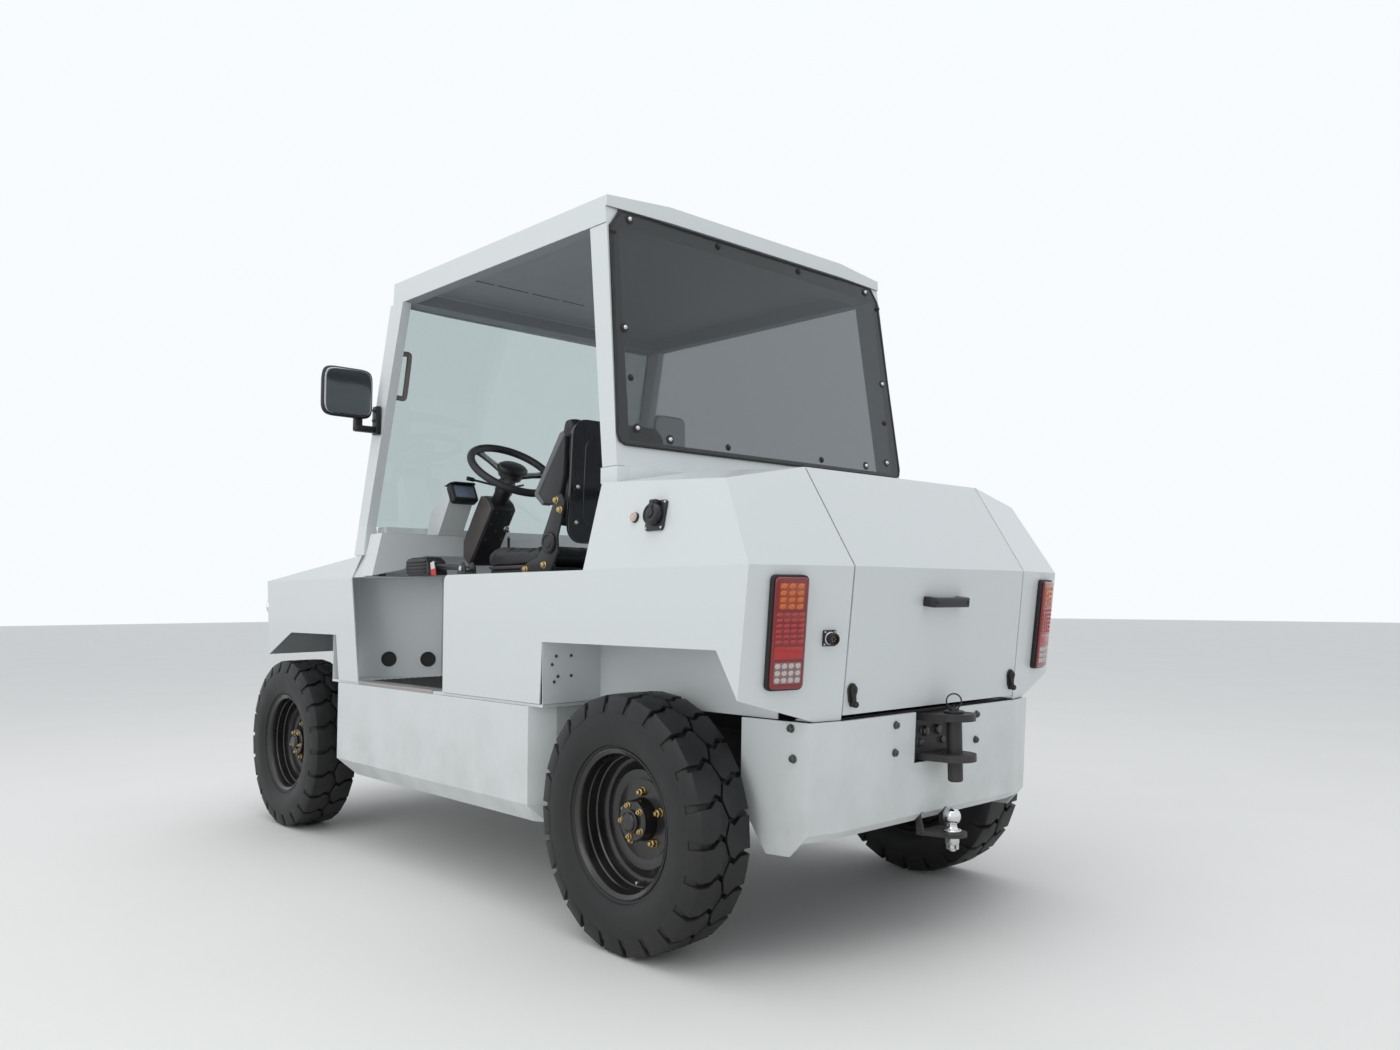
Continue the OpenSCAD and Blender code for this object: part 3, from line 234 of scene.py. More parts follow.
def coated(name, colour, roughness, metallic=0.0, film=0.3, film_colour=(0.34, 0.31, 0.27),
           clean_height=0.75, grain=300.0, bump=0.08, uneven=0.08, coat=0.0, specular=0.5):
    """A painted, plated or moulded finish with grain, uneven gloss and a film of dust."""
    material, tree, shader = finish_material(name, colour, roughness, metallic, Coat_Weight=coat,
                                             Coat_Roughness=0.06, Specular_IOR_Level=specular)
    dusty = add_node(tree, "ShaderNodeGroup", set_node_tree=film_group, Clean_Height=clean_height)
    skin = add_node(tree, "ShaderNodeGroup", set_node_tree=skin_group, Grain_Scale=grain, Strength=bump)
    amount = add_node(tree, "ShaderNodeMath", set_operation="MULTIPLY")
    amount.inputs[1].default_value = film
    wire(dusty, "Film", amount, 0)
    blend(tree, amount, 0, colour, film_colour, shader)
    streaks = textured(tree, Scale=11.0, Detail=5.0)
    gloss = add_node(tree, "ShaderNodeMapRange", To_Min=roughness - uneven, To_Max=roughness + uneven)
    duller = add_node(tree, "ShaderNodeMath", set_operation="ADD", set_use_clamp=True)
    wire(streaks, "Fac", gloss, "Value")
    wire(gloss, "Result", duller, 0)
    wire(amount, 0, duller, 1)
    wire(duller, 0, shader, "Roughness")
    wire(skin, "Normal", shader, "Normal")
    return material


white_paint = coated("white_paint", (0.69, 0.73, 0.737), 0.32, film=0.45, grain=420.0, bump=0.02, uneven=0.02,
                     coat=0.3)


def as_object(name, mesh, *materials):
    """Puts a mesh in the scene at the origin with its finishes."""
    piece = bpy.data.objects.new(name, mesh)
    bpy.context.collection.objects.link(piece)
    mesh.materials.clear()
    for material in materials:
        mesh.materials.append(material)
    return piece


def belongs(piece, body):
    """Puts a piece on its body."""
    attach(piece, body)
    return piece


def as_built(piece):
    """The mesh of a piece with its modifiers applied."""
    view = bpy.context.evaluated_depsgraph_get()
    return bpy.data.meshes.new_from_object(piece.evaluated_get(view))


# Limits of the easing in metres: points welded, edges left sharp, reach round a corner's
# mark, and how far an eased edge may pass the piece's own box.
WELD, SHORTEST, NEAR, SLACK = 0.0003, 0.012, 0.008, 1e-5


def eased(node, material, width=0.0015, angle=8, corner=None):
    """The shape of a CAD node with its long edges rounded, in place of that node. A corner
    (x, z and radius in mm) is rounded off across the whole piece."""
    mesh = frame["nodes"][node].data.copy()
    mesh.name = "eased_" + node
    form = bmesh.new()
    form.from_mesh(mesh)
    bmesh.ops.remove_doubles(form, verts=form.verts, dist=WELD)
    while True:
        loose = [f for f in form.faces if any(len(e.link_faces) == 1 for e in f.edges)]
        if not loose:
            break
        bmesh.ops.delete(form, geom=loose, context="FACES")
    bmesh.ops.dissolve_limit(form, angle_limit=math.radians(0.5), verts=form.verts, edges=form.edges)
    if corner:
        x, z, radius = corner
        mark = spot(x, 0, z)
        chosen = [e for e in form.edges if abs(e.verts[0].co.y - e.verts[1].co.y) > 0.001
                  and all(abs(v.co.x - mark.x) < NEAR and abs(v.co.z - mark.z) < NEAR for v in e.verts)]
        bmesh.ops.bevel(form, geom=chosen, offset=radius / 1000, offset_type="OFFSET", segments=6,
                        profile=0.5, affect="EDGES", clamp_overlap=False)
    weight = form.edges.layers.float.new("bevel_weight_edge")
    for edge in form.edges:
        bent = len(edge.link_faces) == 2 and edge.calc_face_angle(0) > math.radians(angle)
        if bent and edge.calc_length() > SHORTEST:
            edge[weight] = 1
    form.to_mesh(mesh)
    form.free()
    piece = as_object("dressed_" + node, mesh, material)
    for face in mesh.polygons:
        face.material_index = 0
    bevel = piece.modifiers.new("eased_edges", "BEVEL")
    bevel.width = width
    bevel.segments = 2
    bevel.limit_method = "WEIGHT"
    bevel.harden_normals = False
    low, high = [[pick(v.co[i] for v in mesh.vertices) for i in range(3)] for pick in (min, max)]
    for clamped in (False, True):
        bevel.use_clamp_overlap = clamped
        made = as_built(piece)
        if all(low[i] - SLACK < v.co[i] < high[i] + SLACK for v in made.vertices for i in range(3)):
            break
    piece.modifiers.clear()
    piece.data = made
    made.shade_smooth()
    made.set_sharp_from_angle(angle=math.radians(32))
    level_faces = piece.modifiers.new("level_faces", "WEIGHTED_NORMAL")
    level_faces.keep_sharp = True
    piece.data = as_built(piece)
    piece.modifiers.clear()
    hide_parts(node)
    return belongs(piece, body_of[node])


body_of = {node: body for body, nodes in frame["record"]["behaviour"]["bodies"].items() for node in nodes}
WHITE_NODES = ("floor_plate", "firewall", "seat_platform", "rear_side_left", "rear_side_right", "tail_lid",
               "front_fenders", "hood", "nose_panel", "step_boxes", "rear_bumper", "front_bumper",
               "cab_frame", "roof", "cowl")
DOOR_CORNER = {"rear_side_left": (970, 1060, 25), "rear_side_right": (970, 1060, 25)}
white_pieces = {node: eased(node, white_paint, corner=DOOR_CORNER.get(node)) for node in WHITE_NODES}

# Roof lining: the whole underside of the roof is painted a flat grey, up to the skin
# between the pillars.
lining_grey = coated("lining_grey", (0.27, 0.29, 0.315), 0.5, film=0.1, grain=260.0, bump=0.12)
roof_mesh = white_pieces["roof"].data
roof_mesh.materials.append(lining_grey)
CEILING_X, CEILING_Y, CEILING_Z = (236, 1462), 632, (2090, 2185)
for face in roof_mesh.polygons:
    middle = face.center * 1000 + Vector((AXLE_TO_MIDDLE, 0, 0))
    below_skin = abs(middle.y) < CEILING_Y and CEILING_X[0] < middle.x < CEILING_X[1]
    if face.normal.z < -0.6 or (below_skin and CEILING_Z[0] < middle.z < CEILING_Z[1]):
        face.material_index = 1

# Chassis, axles, knuckles and hitch: thick plate, springs and castings, welded and
# bolted, sprayed satin black and dusty from the road.
chassis_paint = coated("chassis_paint", (0.018, 0.018, 0.02), 0.42, film=0.55, grain=160.0, bump=0.16,
                       film_colour=(0.14, 0.12, 0.1))
for node in ("chassis_frame", "rear_axle", "front_axle", "battery_block", "knuckle_left", "knuckle_right",
             "tie_rod", "hitch_bracket"):
    eased(node, chassis_paint, width=0.0012, angle=40)

# Tyres: moulded rubber with deep lugs, one on each rim. A turned carcass carries two
# rings of blocks, staggered so that their tips run into the gaps of the other ring.
TYRE_RADIUS = 0.3555
LUGS = 22
AXLE_HEIGHT = 0.3555
# Outside of the carcass: distance from the middle of the tread and radius, in mm.
CARCASS = ((0, 339.5), (58, 339), (80, 336), (88, 326), (93.5, 306), (94.5, 303), (95.5, 306), (97.5, 292),
           (98, 272), (96, 250), (91, 231), (85.5, 221), (84.5, 215.5), (79, 213), (75.5, 207), (70, 196),
           (66, 191), (60, 190.3))
# Stations across one block: distance from the middle, top and base radius, and where the
# block begins and ends round the tread.
BLOCK = ((-3, 355.3, 334, 4, 16), (10, 355.5, 334, -32, 53), (26, 355.5, 334, -22, 63),
         (50, 355.2, 333, -41, 44), (83.5, 353.2, 330, -41, 44), (87, 349, 326, -40, 43),
         (93, 327, 318, -38, 41), (96.5, 309, 304, -36, 39))
BLOCK_SHIFT = 71.25
# Turn of the blocks that puts them over the lugs of the CAD tyre.
LUG_TURN = 1.6866


def skin(form, rings, closed=False, ends=()):
    """Faces between neighbouring rings of points; ends lists the rings that get a face."""
    for a, b in zip(rings, rings[1:] + rings[:1] if closed else rings[1:]):
        count = max(len(a), len(b))
        for i in range(count):
            j = (i + 1) % count
            corners = dict.fromkeys((a[i % len(a)], a[j % len(a)], b[j % len(b)], b[i % len(b)]))
            if len(corners) > 2:
                form.faces.new(list(corners))
    for ring in ends:
        form.faces.new(ring)


def mesh_of(form, name, place=None, outward=True):
    """The mesh of a form, its normals turned outward, moved to its place."""
    if outward:
        bmesh.ops.recalc_face_normals(form, faces=form.faces)
    mesh = bpy.data.meshes.new(name)
    form.to_mesh(mesh)
    form.free()
    if place is not None:
        mesh.transform(place)
    return mesh


def turned(name, outline, steps):
    """A ring turned about the Y axis from a closed outline of (y, radius) in mm."""
    form = bmesh.new()
    rings = []
    for step in range(steps):
        angle = math.tau * step / steps
        rings.append([form.verts.new((r / 1000 * math.sin(angle), y / 1000, r / 1000 * math.cos(angle)))
                      for y, r in outline])
    skin(form, rings, closed=True)
    return mesh_of(form, name)


def finished(piece, smooth_below=35):
    """Turns a piece with its modifiers into a plain mesh, smooth across gentle bends."""
    mesh = as_built(piece)
    piece.modifiers.clear()
    piece.data = mesh
    mesh.shade_smooth()
    mesh.set_sharp_from_angle(angle=math.radians(smooth_below))
    return piece


def eased_edges(piece, width, segments=2, angle=30):
    """Adds a bevel to the edges that bend by more than an angle in degrees."""
    bevel = piece.modifiers.new("eased_edges", "BEVEL")
    bevel.width = width
    bevel.segments = segments
    bevel.limit_method = "ANGLE"
    bevel.angle_limit = math.radians(angle)
    return piece


def tread_block():
    """One block of the outer ring, lofted across the tread and down the shoulder."""
    form = bmesh.new()
    rows = []
    for y, top, base, start, end in BLOCK:
        row = []
        for radius, s in ((top, start), (top, end), (base, end), (base, start)):
            angle = s / 1000 / TYRE_RADIUS
            row.append(form.verts.new((radius / 1000 * math.sin(angle), y / 1000,
                                       radius / 1000 * math.cos(angle))))
        rows.append(row)
    skin(form, rows, ends=(rows[0], rows[-1]))
    return mesh_of(form, "tread_block")


def ring_of_blocks():
    """Geometry Nodes tree that sets blocks round a carcass in two staggered rings."""
    tree, enter, leave = new_group("ring_of_blocks", "GeometryNodeTree",
                                   (("Geometry", "Geometry"), ("Block", "Object"), ("Count", "Int", LUGS),
                                    ("Stagger", "Float"), ("Rubber", "Material")),
                                   (("Geometry", "Geometry"),))
    block = tree.nodes.new("GeometryNodeObjectInfo")
    wire(enter, "Block", block, "Object")
    points = tree.nodes.new("GeometryNodePoints")
    wire(enter, "Count", points, "Count")
    index = tree.nodes.new("GeometryNodeInputIndex")
    pitch = add_node(tree, "ShaderNodeMath", set_operation="DIVIDE")
    pitch.inputs[0].default_value = 2 * math.pi
    wire(enter, "Count", pitch, 1)
    joined = tree.nodes.new("GeometryNodeJoinGeometry")
    wire(enter, "Geometry", joined, 0)
    for inner in (False, True):
        turn = add_node(tree, "ShaderNodeMath", set_operation="MULTIPLY")
        wire(index, 0, turn, 0)
        wire(pitch, 0, turn, 1)
        shift = add_node(tree, "ShaderNodeMath", set_operation="ADD")
        wire(turn, 0, shift, 0)
        if inner:
            wire(enter, "Stagger", shift, 1)
        else:
            shift.inputs[1].default_value = 0
        spin = tree.nodes.new("ShaderNodeCombineXYZ")
        wire(shift, 0, spin, "Y")
        shape = block.outputs["Geometry"]
        if inner:
            other = tree.nodes.new("GeometryNodeTransform")
            other.inputs["Rotation"].default_value = (0, 0, math.pi)
            tree.links.new(shape, other.inputs["Geometry"])
            shape = other.outputs["Geometry"]
        placed = tree.nodes.new("GeometryNodeInstanceOnPoints")
        wire(points, 0, placed, "Points")
        tree.links.new(shape, placed.inputs["Instance"])
        wire(spin, 0, placed, "Rotation")
        wire(placed, 0, joined, 0)
    real = tree.nodes.new("GeometryNodeRealizeInstances")
    dressed = tree.nodes.new("GeometryNodeSetMaterial")
    wire(joined, 0, real, 0)
    wire(real, 0, dressed, "Geometry")
    wire(enter, "Rubber", dressed, "Material")
    wire(dressed, 0, leave, 0)
    return tree


def set_inputs(modifier, **values):
    """Sets a Geometry Nodes modifier's inputs by their sockets' identifiers."""
    for item in modifier.node_group.interface.items_tree:
        if item.item_type == "SOCKET" and item.in_out == "INPUT" and item.name in values:
            modifier[item.identifier] = values[item.name]


rubber = coated("tyre_rubber", (0.012, 0.0125, 0.0135), 0.5, film=0.1, film_colour=(0.1, 0.09, 0.075),
                clean_height=0.8, grain=260.0, bump=0.25, uneven=0.1, specular=0.4)
block_piece = eased_edges(as_object("block_pattern", tread_block(), rubber), 0.0022)
finished(block_piece)
section = [(-y, r) for y, r in reversed(CARCASS[1:])] + list(CARCASS)
carcass = as_object("carcass_pattern", turned("carcass", section, 132), rubber)
blocks = carcass.modifiers.new("blocks", "NODES")
blocks.node_group = ring_of_blocks()
set_inputs(blocks, Block=block_piece, Count=LUGS, Stagger=BLOCK_SHIFT / 1000 / TYRE_RADIUS, Rubber=rubber)
finished(carcass)
bpy.data.objects.remove(block_piece)
WHEELBASE, WHEEL_Y = 2320, 668
WHEELS = (("front_left", WHEELBASE, WHEEL_Y), ("front_right", WHEELBASE, -WHEEL_Y), ("rear_left", 0, WHEEL_Y),
          ("rear_right", 0, -WHEEL_Y))


def at_wheel(pattern, name, x, y, turn=0.0):
    """A copy of a wheel piece at one axle end; the right side is turned half round."""
    mesh = pattern.data.copy()
    place = spot(x, y, AXLE_HEIGHT * 1000)
    side = Matrix.Rotation(math.pi if y < 0 else 0, 4, "Z")
    mesh.transform(Matrix.Translation(place) @ side @ Matrix.Rotation(turn, 4, "Y"))
    return as_object(name, mesh, *mesh.materials)


for wheel, x, y in WHEELS:
    tyre = at_wheel(carcass, "lug_tyre_" + wheel, x, y, turn=LUG_TURN)
    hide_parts("tyre_" + wheel)
    belongs(tyre, "wheel_" + wheel)
bpy.data.objects.remove(carcass)

# Rims: pressed steel, deep dished, painted black, each with a bolted hub inside. Five
# plated nuts stand on the wheel's circle and five studs on the hub's.
RIM_OUTLINE = ((76, 198), (78.5, 201.5), (77.5, 204.6), (74, 205.2), (71, 203), (69, 196), (66, 190.8),
               (20, 190.2), (-40, 190.2), (-66, 190.8), (-69, 196), (-71, 203), (-74, 205.2), (-77.5, 204.6),
               (-78.5, 201.5), (-76, 198), (-72, 190), (-66, 186), (-20, 185.2), (-21, 178), (-27, 170),
               (-29, 150), (-27, 120), (-24, 40), (-13, 40), (-15, 108), (-9, 120), (-8, 138), (-14, 150),
               (-17, 163), (-13, 172), (-4, 177.5), (12, 178.5), (15, 182.5), (40, 184), (44, 186.5),
               (66, 187.5), (72, 191))
HUB_OUTLINE = ((-23, 135), (-23, 1), (46, 1), (46, 22), (44, 25), (40, 27), (38, 32), (30, 33.5), (29, 53),
               (26, 56), (2, 57.5), (-4, 60), (-12, 61), (-14, 134))
NUT_CIRCLE = 0.0755
STUD_CIRCLE = 0.0445
rim_paint = coated("rim_paint", (0.006, 0.006, 0.0075), 0.24, film=0.16, film_colour=(0.09, 0.08, 0.065),
                   grain=200.0, bump=0.1, coat=0.3)
brass_plate = coated("brass_plate", (0.62, 0.45, 0.2), 0.3, metallic=1.0, film=0.25,
                     film_colour=(0.2, 0.15, 0.1), grain=500.0, bump=0.12)
bright_steel = coated("bright_steel", (0.6, 0.6, 0.6), 0.26, metallic=1.0, film=0.2, grain=600.0, bump=0.08)


def ring_points(form, radius, height, count):
    """A ring of points round the Z axis, or a single one where it has no radius."""
    turns = [math.tau * i / count for i in range(count if radius else 1)]
    return [form.verts.new((radius * math.cos(t), radius * math.sin(t), height)) for t in turns]


def screwed(name, across, height, stud_d, stud_out, material):
    """A hexagon nut with a chamfered top on its washer, and the stud that passes it."""
    form = bmesh.new()
    corner = across / math.sqrt(3)
    profile = (corner, 0), (corner, height * 0.82), (corner * 0.88, height)
    rings = [ring_points(form, r, z, 6) for r, z in profile]
    skin(form, rings, ends=(rings[-1], rings[0][::-1]))
    washer = corner * 1.18, -0.0005, 0.0022, 20
    stud = stud_d / 2, 0, height + stud_out, 14
    for radius, low, high, count in (washer, stud):
        profile = ((radius, low), (radius, high - radius * 0.12), (radius * 0.86, high))
        rings = [ring_points(form, r, z, count) for r, z in profile]
        skin(form, rings, ends=(rings[-1], rings[0][::-1]))
    piece = as_object(name, mesh_of(form, name), material)
    return finished(eased_edges(piece, 0.0006, 1, 40))


def set_on_marks():
    """Geometry Nodes tree that puts a fastener on each mark, standing along its normal."""
    tree, enter, leave = new_group(
        "set_on_marks", "GeometryNodeTree",
        (("Geometry", "Geometry"), ("Fastener", "Object"), ("Size", "Float", 1.0), ("Finish", "Material")),
        (("Geometry", "Geometry"),))
    part = tree.nodes.new("GeometryNodeObjectInfo")
    wire(enter, "Fastener", part, "Object")
    stand = add_node(tree, "GeometryNodeInputNamedAttribute", set_data_type="FLOAT_VECTOR")
    stand.inputs["Name"].default_value = "stands_along"
    turn = add_node(tree, "FunctionNodeAlignRotationToVector", set_axis="Z")
    placed = tree.nodes.new("GeometryNodeInstanceOnPoints")
    real = tree.nodes.new("GeometryNodeRealizeInstances")
    dressed = tree.nodes.new("GeometryNodeSetMaterial")
    wire(stand, "Attribute", turn, "Vector")
    wire(enter, "Geometry", placed, "Points")
    wire(part, "Geometry", placed, "Instance")
    wire(turn, "Rotation", placed, "Rotation")
    wire(enter, "Size", placed, "Scale")
    wire(placed, 0, real, 0)
    wire(real, 0, dressed, "Geometry")
    wire(enter, "Finish", dressed, "Material")
    wire(dressed, 0, leave, 0)
    return tree


marks_tree = set_on_marks()


def fastened(name, part, marks, material, size=1.0, body="chassis"):
    """Fasteners on a list of (place, direction) marks, as one piece on a body."""
    mesh = bpy.data.meshes.new(name)
    mesh.from_pydata([tuple(p) for p, _ in marks], [], [])
    along = mesh.attributes.new("stands_along", "FLOAT_VECTOR", "POINT")
    for item, (_, direction) in zip(along.data, marks):
        item.vector = direction
    piece = as_object(name, mesh, material)
    layout = piece.modifiers.new("fasteners", "NODES")
    layout.node_group = marks_tree
    set_inputs(layout, Fastener=part, Size=size, Finish=material)
    return belongs(finished(piece), body)


wheel_nut = screwed("wheel_nut_pattern", 0.021, 0.014, 0.0125, 0.008, brass_plate)
hub_stud = screwed("hub_stud_pattern", 0.014, 0.009, 0.008, 0.004, brass_plate)
rim_pattern = as_object("rim_pattern", turned("rim", RIM_OUTLINE, 112), rim_paint)
hub_pattern = as_object("hub_pattern", turned("hub", HUB_OUTLINE, 48), rim_paint)
for pattern in (rim_pattern, hub_pattern):
    finished(pattern, 28)
VALVE = ((0, 0.2), (0, 4), (22, 4), (23, 5.2), (34, 5.2), (36, 4), (36, 0.2))
valve_pattern = finished(as_object("valve_pattern", turned("valve", VALVE, 14), bright_steel))
for wheel, x, y in WHEELS:
    body = "wheel_" + wheel
    side = 1 if y > 0 else -1
    centre = spot(x, y, AXLE_HEIGHT * 1000)
    rim = at_wheel(rim_pattern, "pressed_rim_" + wheel, x, y)
    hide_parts("rim_" + wheel)
    hub = at_wheel(hub_pattern, "wheel_hub_" + wheel, x, y)
    valve = valve_pattern.data.copy()
    valve.transform(Matrix.Translation(centre + Vector((-0.02, side * -0.006, -0.166))) @
                    Matrix.Rotation(0 if side > 0 else math.pi, 4, "Z"))
    stem = as_object("valve_" + wheel, valve, bright_steel)
    for piece in (rim, hub, stem):
        belongs(piece, body)
    start = 0.3 + 0.5 * WHEELS.index((wheel, x, y))
    for title, part, circle, out, turn in (("wheel_nuts_", wheel_nut, NUT_CIRCLE, -0.0145, start),
                                           ("hub_studs_", hub_stud, STUD_CIRCLE, 0.0285, start + 0.35)):
        marks = [(centre + Vector((circle * math.sin(turn + a * math.tau / 5), side * out,
                                   circle * math.cos(turn + a * math.tau / 5))),
                  (0, side, 0)) for a in range(5)]
        fastened(title + wheel, part, marks, brass_plate, body=body)
for pattern in (rim_pattern, hub_pattern, valve_pattern):
    bpy.data.objects.remove(pattern)

# Glazing: a dark acrylic rear pane screwed to the cab from outside, and a clear
# greenish windscreen bonded to the front pillars with a black border.
def varied_gloss(tree, shader, low, high, scale, detail, **values):
    """Gloss that wanders between two values over the surface."""
    patches = textured(tree, Scale=scale, Detail=detail, **values)
    gloss = add_node(tree, "ShaderNodeMapRange", To_Min=low, To_Max=high)
    wire(patches, "Fac", gloss, "Value")
    wire(gloss, "Result", shader, "Roughness")
    return gloss


def pane(name, tint, roughness, ior=1.49):
    """See-through sheet with faint smears in its gloss."""
    material, tree, shader = finish_material(name, tint, roughness, Transmission_Weight=1.0, IOR=ior)
    smears = varied_gloss(tree, shader, roughness, roughness + 0.05, 6.0, 6.0, Roughness=0.7)
    fill(smears, From_Min=0.4, From_Max=0.8)
    return material


smoked_acrylic = pane("smoked_acrylic", (0.17, 0.185, 0.19), 0.02)
green_glass = pane("green_glass", (0.5, 0.57, 0.56), 0.01, 1.5)
eased("rear_window", smoked_acrylic, width=0.001, angle=30)
eased("windshield", green_glass, width=0.001, angle=30)

# Screws of the rear pane: domed heads, each bright one on a flat black disc. Columns:
# distance from the middle and height, in mm; both sides are alike, and every other head
# has a black cap.
PANE_SCREWS = ((650, 2094), (582, 2148), (201, 2149), (630, 1792), (620, 1638), (608, 1484), (230, 1462),
               (480, 1462))
CAB_X, PANE_LEAN, PANE_FOOT = 80, 0.107, 1355


def domed(name, radius, height, material):
    """A pan head on its washer, closed underneath."""
    outline = [(-0.0004, 0.0), (-0.0004, radius * 1.25), (0.0012, radius * 1.3), (0.0022, radius * 1.2),
               (0.0023, radius)]
    outline += [(0.0023 + height * math.sin(a), radius * math.cos(a)) for a in (0.35, 0.8, 1.2, 1.5)]
    form = bmesh.new()
    rings = [ring_points(form, max(r, 0.00005), z, 20) for z, r in outline]
    skin(form, rings, ends=(rings[0][::-1], rings[-1]))
    return finished(as_object(name, mesh_of(form, name), material))


black_plastic = coated("black_plastic", (0.014, 0.014, 0.016), 0.4, film=0.12, grain=800.0, bump=0.16)
black_rubber = coated("black_rubber", (0.012, 0.012, 0.012), 0.6, film=0.2, grain=500.0, bump=0.2)
pan_head = domed("pan_head_pattern", 0.0075, 0.007, bright_steel)
pan_cap = domed("pan_cap_pattern", 0.0085, 0.007, black_rubber)
bright_marks, capped_marks = [], []
for side in (1, -1):
    for i, (y, z) in enumerate(PANE_SCREWS):
        mark = (spot(CAB_X + PANE_LEAN * (z - PANE_FOOT) - 6.6, side * y, z), (-1, 0, PANE_LEAN))
        (bright_marks if i % 2 else capped_marks).append(mark)
# A flat black disc under each bright head, dark all round it.
pan_dark_disc = domed("pan_washer_pattern", 0.0115, 0.0, black_rubber)
fastened("pane_washers", pan_dark_disc, bright_marks, black_rubber)
fastened("pane_screws", pan_head, bright_marks, bright_steel)
fastened("pane_caps", pan_cap, capped_marks, black_rubber)


def bar_box(name, low, high, material, width, segments=2):
    """A moulded or cut bar between two corners in mm, with eased edges."""
    low, high = zip(*[sorted(pair) for pair in zip(low, high)])
    form = bmesh.new()
    bmesh.ops.create_cube(form, size=1)
    bmesh.ops.scale(form, verts=form.verts, vec=[(b - a) / 1000 for a, b in zip(low, high)])
    bmesh.ops.translate(form, verts=form.verts, vec=[(a + b) / 2000 for a, b in zip(low, high)])
    mesh = mesh_of(form, name, Matrix.Translation((-AXLE_TO_MIDDLE / 1000, 0, 0)), outward=False)
    piece = finished(eased_edges(as_object(name, mesh, material), width, segments), 40)
    return belongs(piece, "chassis")


# Bumper bolts: dark steel hexagon heads, four on the rear plate and two on each end
# plate. Smaller ones hold the liner in each rear arch.
BUMPER_X, BUMPER_RAKE, BUMPER_LOW = 522, 0.069, 365
END_X, END_Y, END_TAPER = -500, 529, 0.075
dark_steel = coated("dark_steel", (0.09, 0.088, 0.085), 0.38, metallic=0.7, film=0.3, grain=500.0, bump=0.1)
bumper_bolt = screwed("bumper_bolt_pattern", 0.017, 0.009, 0.009, 0.003, dark_steel)
marks = [(spot(-BUMPER_X - BUMPER_RAKE * (z - BUMPER_LOW), y, z), (-1, 0, -BUMPER_RAKE))
         for y in (200, -200) for z in (626, 550)]
marks += [(spot(x, side * (END_Y + (x - END_X) * END_TAPER), z), (0, side, 0))
          for side in (1, -1) for x, z in ((-452, 637), (-458, 559))]
fastened("bumper_bolts", bumper_bolt, marks, dark_steel)
ARCH_X = 369
ARCH_BOLTS = ((697, 800), (712, 775), (690, 738), (704, 722), (640, 800), (640, 738))
marks = [(spot(ARCH_X, side * y, z), (-1, 0, 0)) for side in (1, -1) for y, z in ARCH_BOLTS]
fastened("arch_bolts", bumper_bolt, marks, dark_steel, 0.45)

# Tail lamps: a black rubber tub with a thin rim, and a moulded lens of four fields, three
# of them full of small domes. Set on the sloping faces beside the lid.
LAMP_Y, LAMP_Z, LAMP_W, LAMP_H = (567, 680), (744, 1037), 113, 293
TAIL_X, LOW_RAKE, LEAN, FOLD_Y, SHOULDER = 582, 0.128, 0.218, 424, 1060


def lens_finish(name, colour):
    """Moulded lens of fine cells whose colour is darkened towards each cell's edge: painted shade."""
    material, tree, shader = finish_material(name, colour, 0.18, Coat_Weight=0.6, Coat_Roughness=0.05)
    cells = textured(tree, "ShaderNodeTexVoronoi", Scale=420.0)
    # Painted shade: the colour falls to 0.45 of itself towards each cell's edge.
    blend(tree, cells, "Distance", colour, [c * 0.45 for c in colour], shader)
    return material


amber_lens = lens_finish("amber_lens", (0.82, 0.17, 0.008))
red_lens = lens_finish("red_lens", (0.62, 0.01, 0.012))
# The darker copies below are painted shade: the lens body and the fields between the domes take them.
red_lens_painted_shade = lens_finish("red_lens_painted_shade", (0.3, 0.005, 0.007))
amber_lens_painted_shade = lens_finish("amber_lens_painted_shade", (0.5, 0.055, 0.004))
clear_lens = lens_finish("clear_lens", (0.72, 0.64, 0.62))
clear_field_painted_shade = lens_finish("clear_field_painted_shade", (0.36, 0.19, 0.19))
# Fields of the lens from the top. Columns: share of the height where it starts and
# ends, rows and columns of cells, share of the width that it fills, finish, finish
# between the cells, a darker copy of the lens colour as painted shade between the domes.
FIELDS = ((0.05, 0.29, 4, 3, 0.76, amber_lens, amber_lens_painted_shade),
          (0.31, 0.6, 6, 4, 0.88, red_lens, red_lens_painted_shade), (0.62, 0.73, 1, 1, 0.86, red_lens, red_lens),
          (0.76, 0.95, 3, 4, 0.82, clear_lens, clear_field_painted_shade))


def on_face(point, normal):
    """Matrix that stands a piece on a face: Z along the normal, X level."""
    out = Vector(normal).normalized()
    across = Vector((0, 0, 1)).cross(out).normalized()
    rise = out.cross(across)
    place = Matrix((across, rise, out)).transposed().to_4x4()
    place.translation = point
    return place


def marks_on(face, places, height):
    """Marks for fasteners on a face, from (u, v) in mm and their height above it."""
    out = face.to_3x3() @ Vector((0, 0, 1))
    return [(face @ Vector((u / 1000, v / 1000, height / 1000)), out) for u, v in places]


def dome(name, radius, height, material):
    """Half sunk ball for one cell of a lens."""
    form = bmesh.new()
    bmesh.ops.create_uvsphere(form, u_segments=10, v_segments=6, radius=1)
    bmesh.ops.scale(form, verts=form.verts, vec=(radius, radius, height))
    return finished(as_object(name, mesh_of(form, name, outward=False), material), 60)


def cut_plate(name, outline, low, high, material, place, width=0.001, body="chassis",
              segments=2, smooth=40):
    """A piece cut to an outline in mm, from low to high above the face it stands on."""
    form = bmesh.new()
    under = [form.verts.new((u / 1000, v / 1000, low / 1000)) for u, v in outline]
    over = [form.verts.new((u / 1000, v / 1000, high / 1000)) for u, v in outline]
    form.faces.new(under[::-1])
    form.faces.new(over)
    skin(form, (under, over))
    mesh = mesh_of(form, name, place)
    piece = finished(eased_edges(as_object(name, mesh, material), width, segments), smooth)
    return belongs(piece, body)


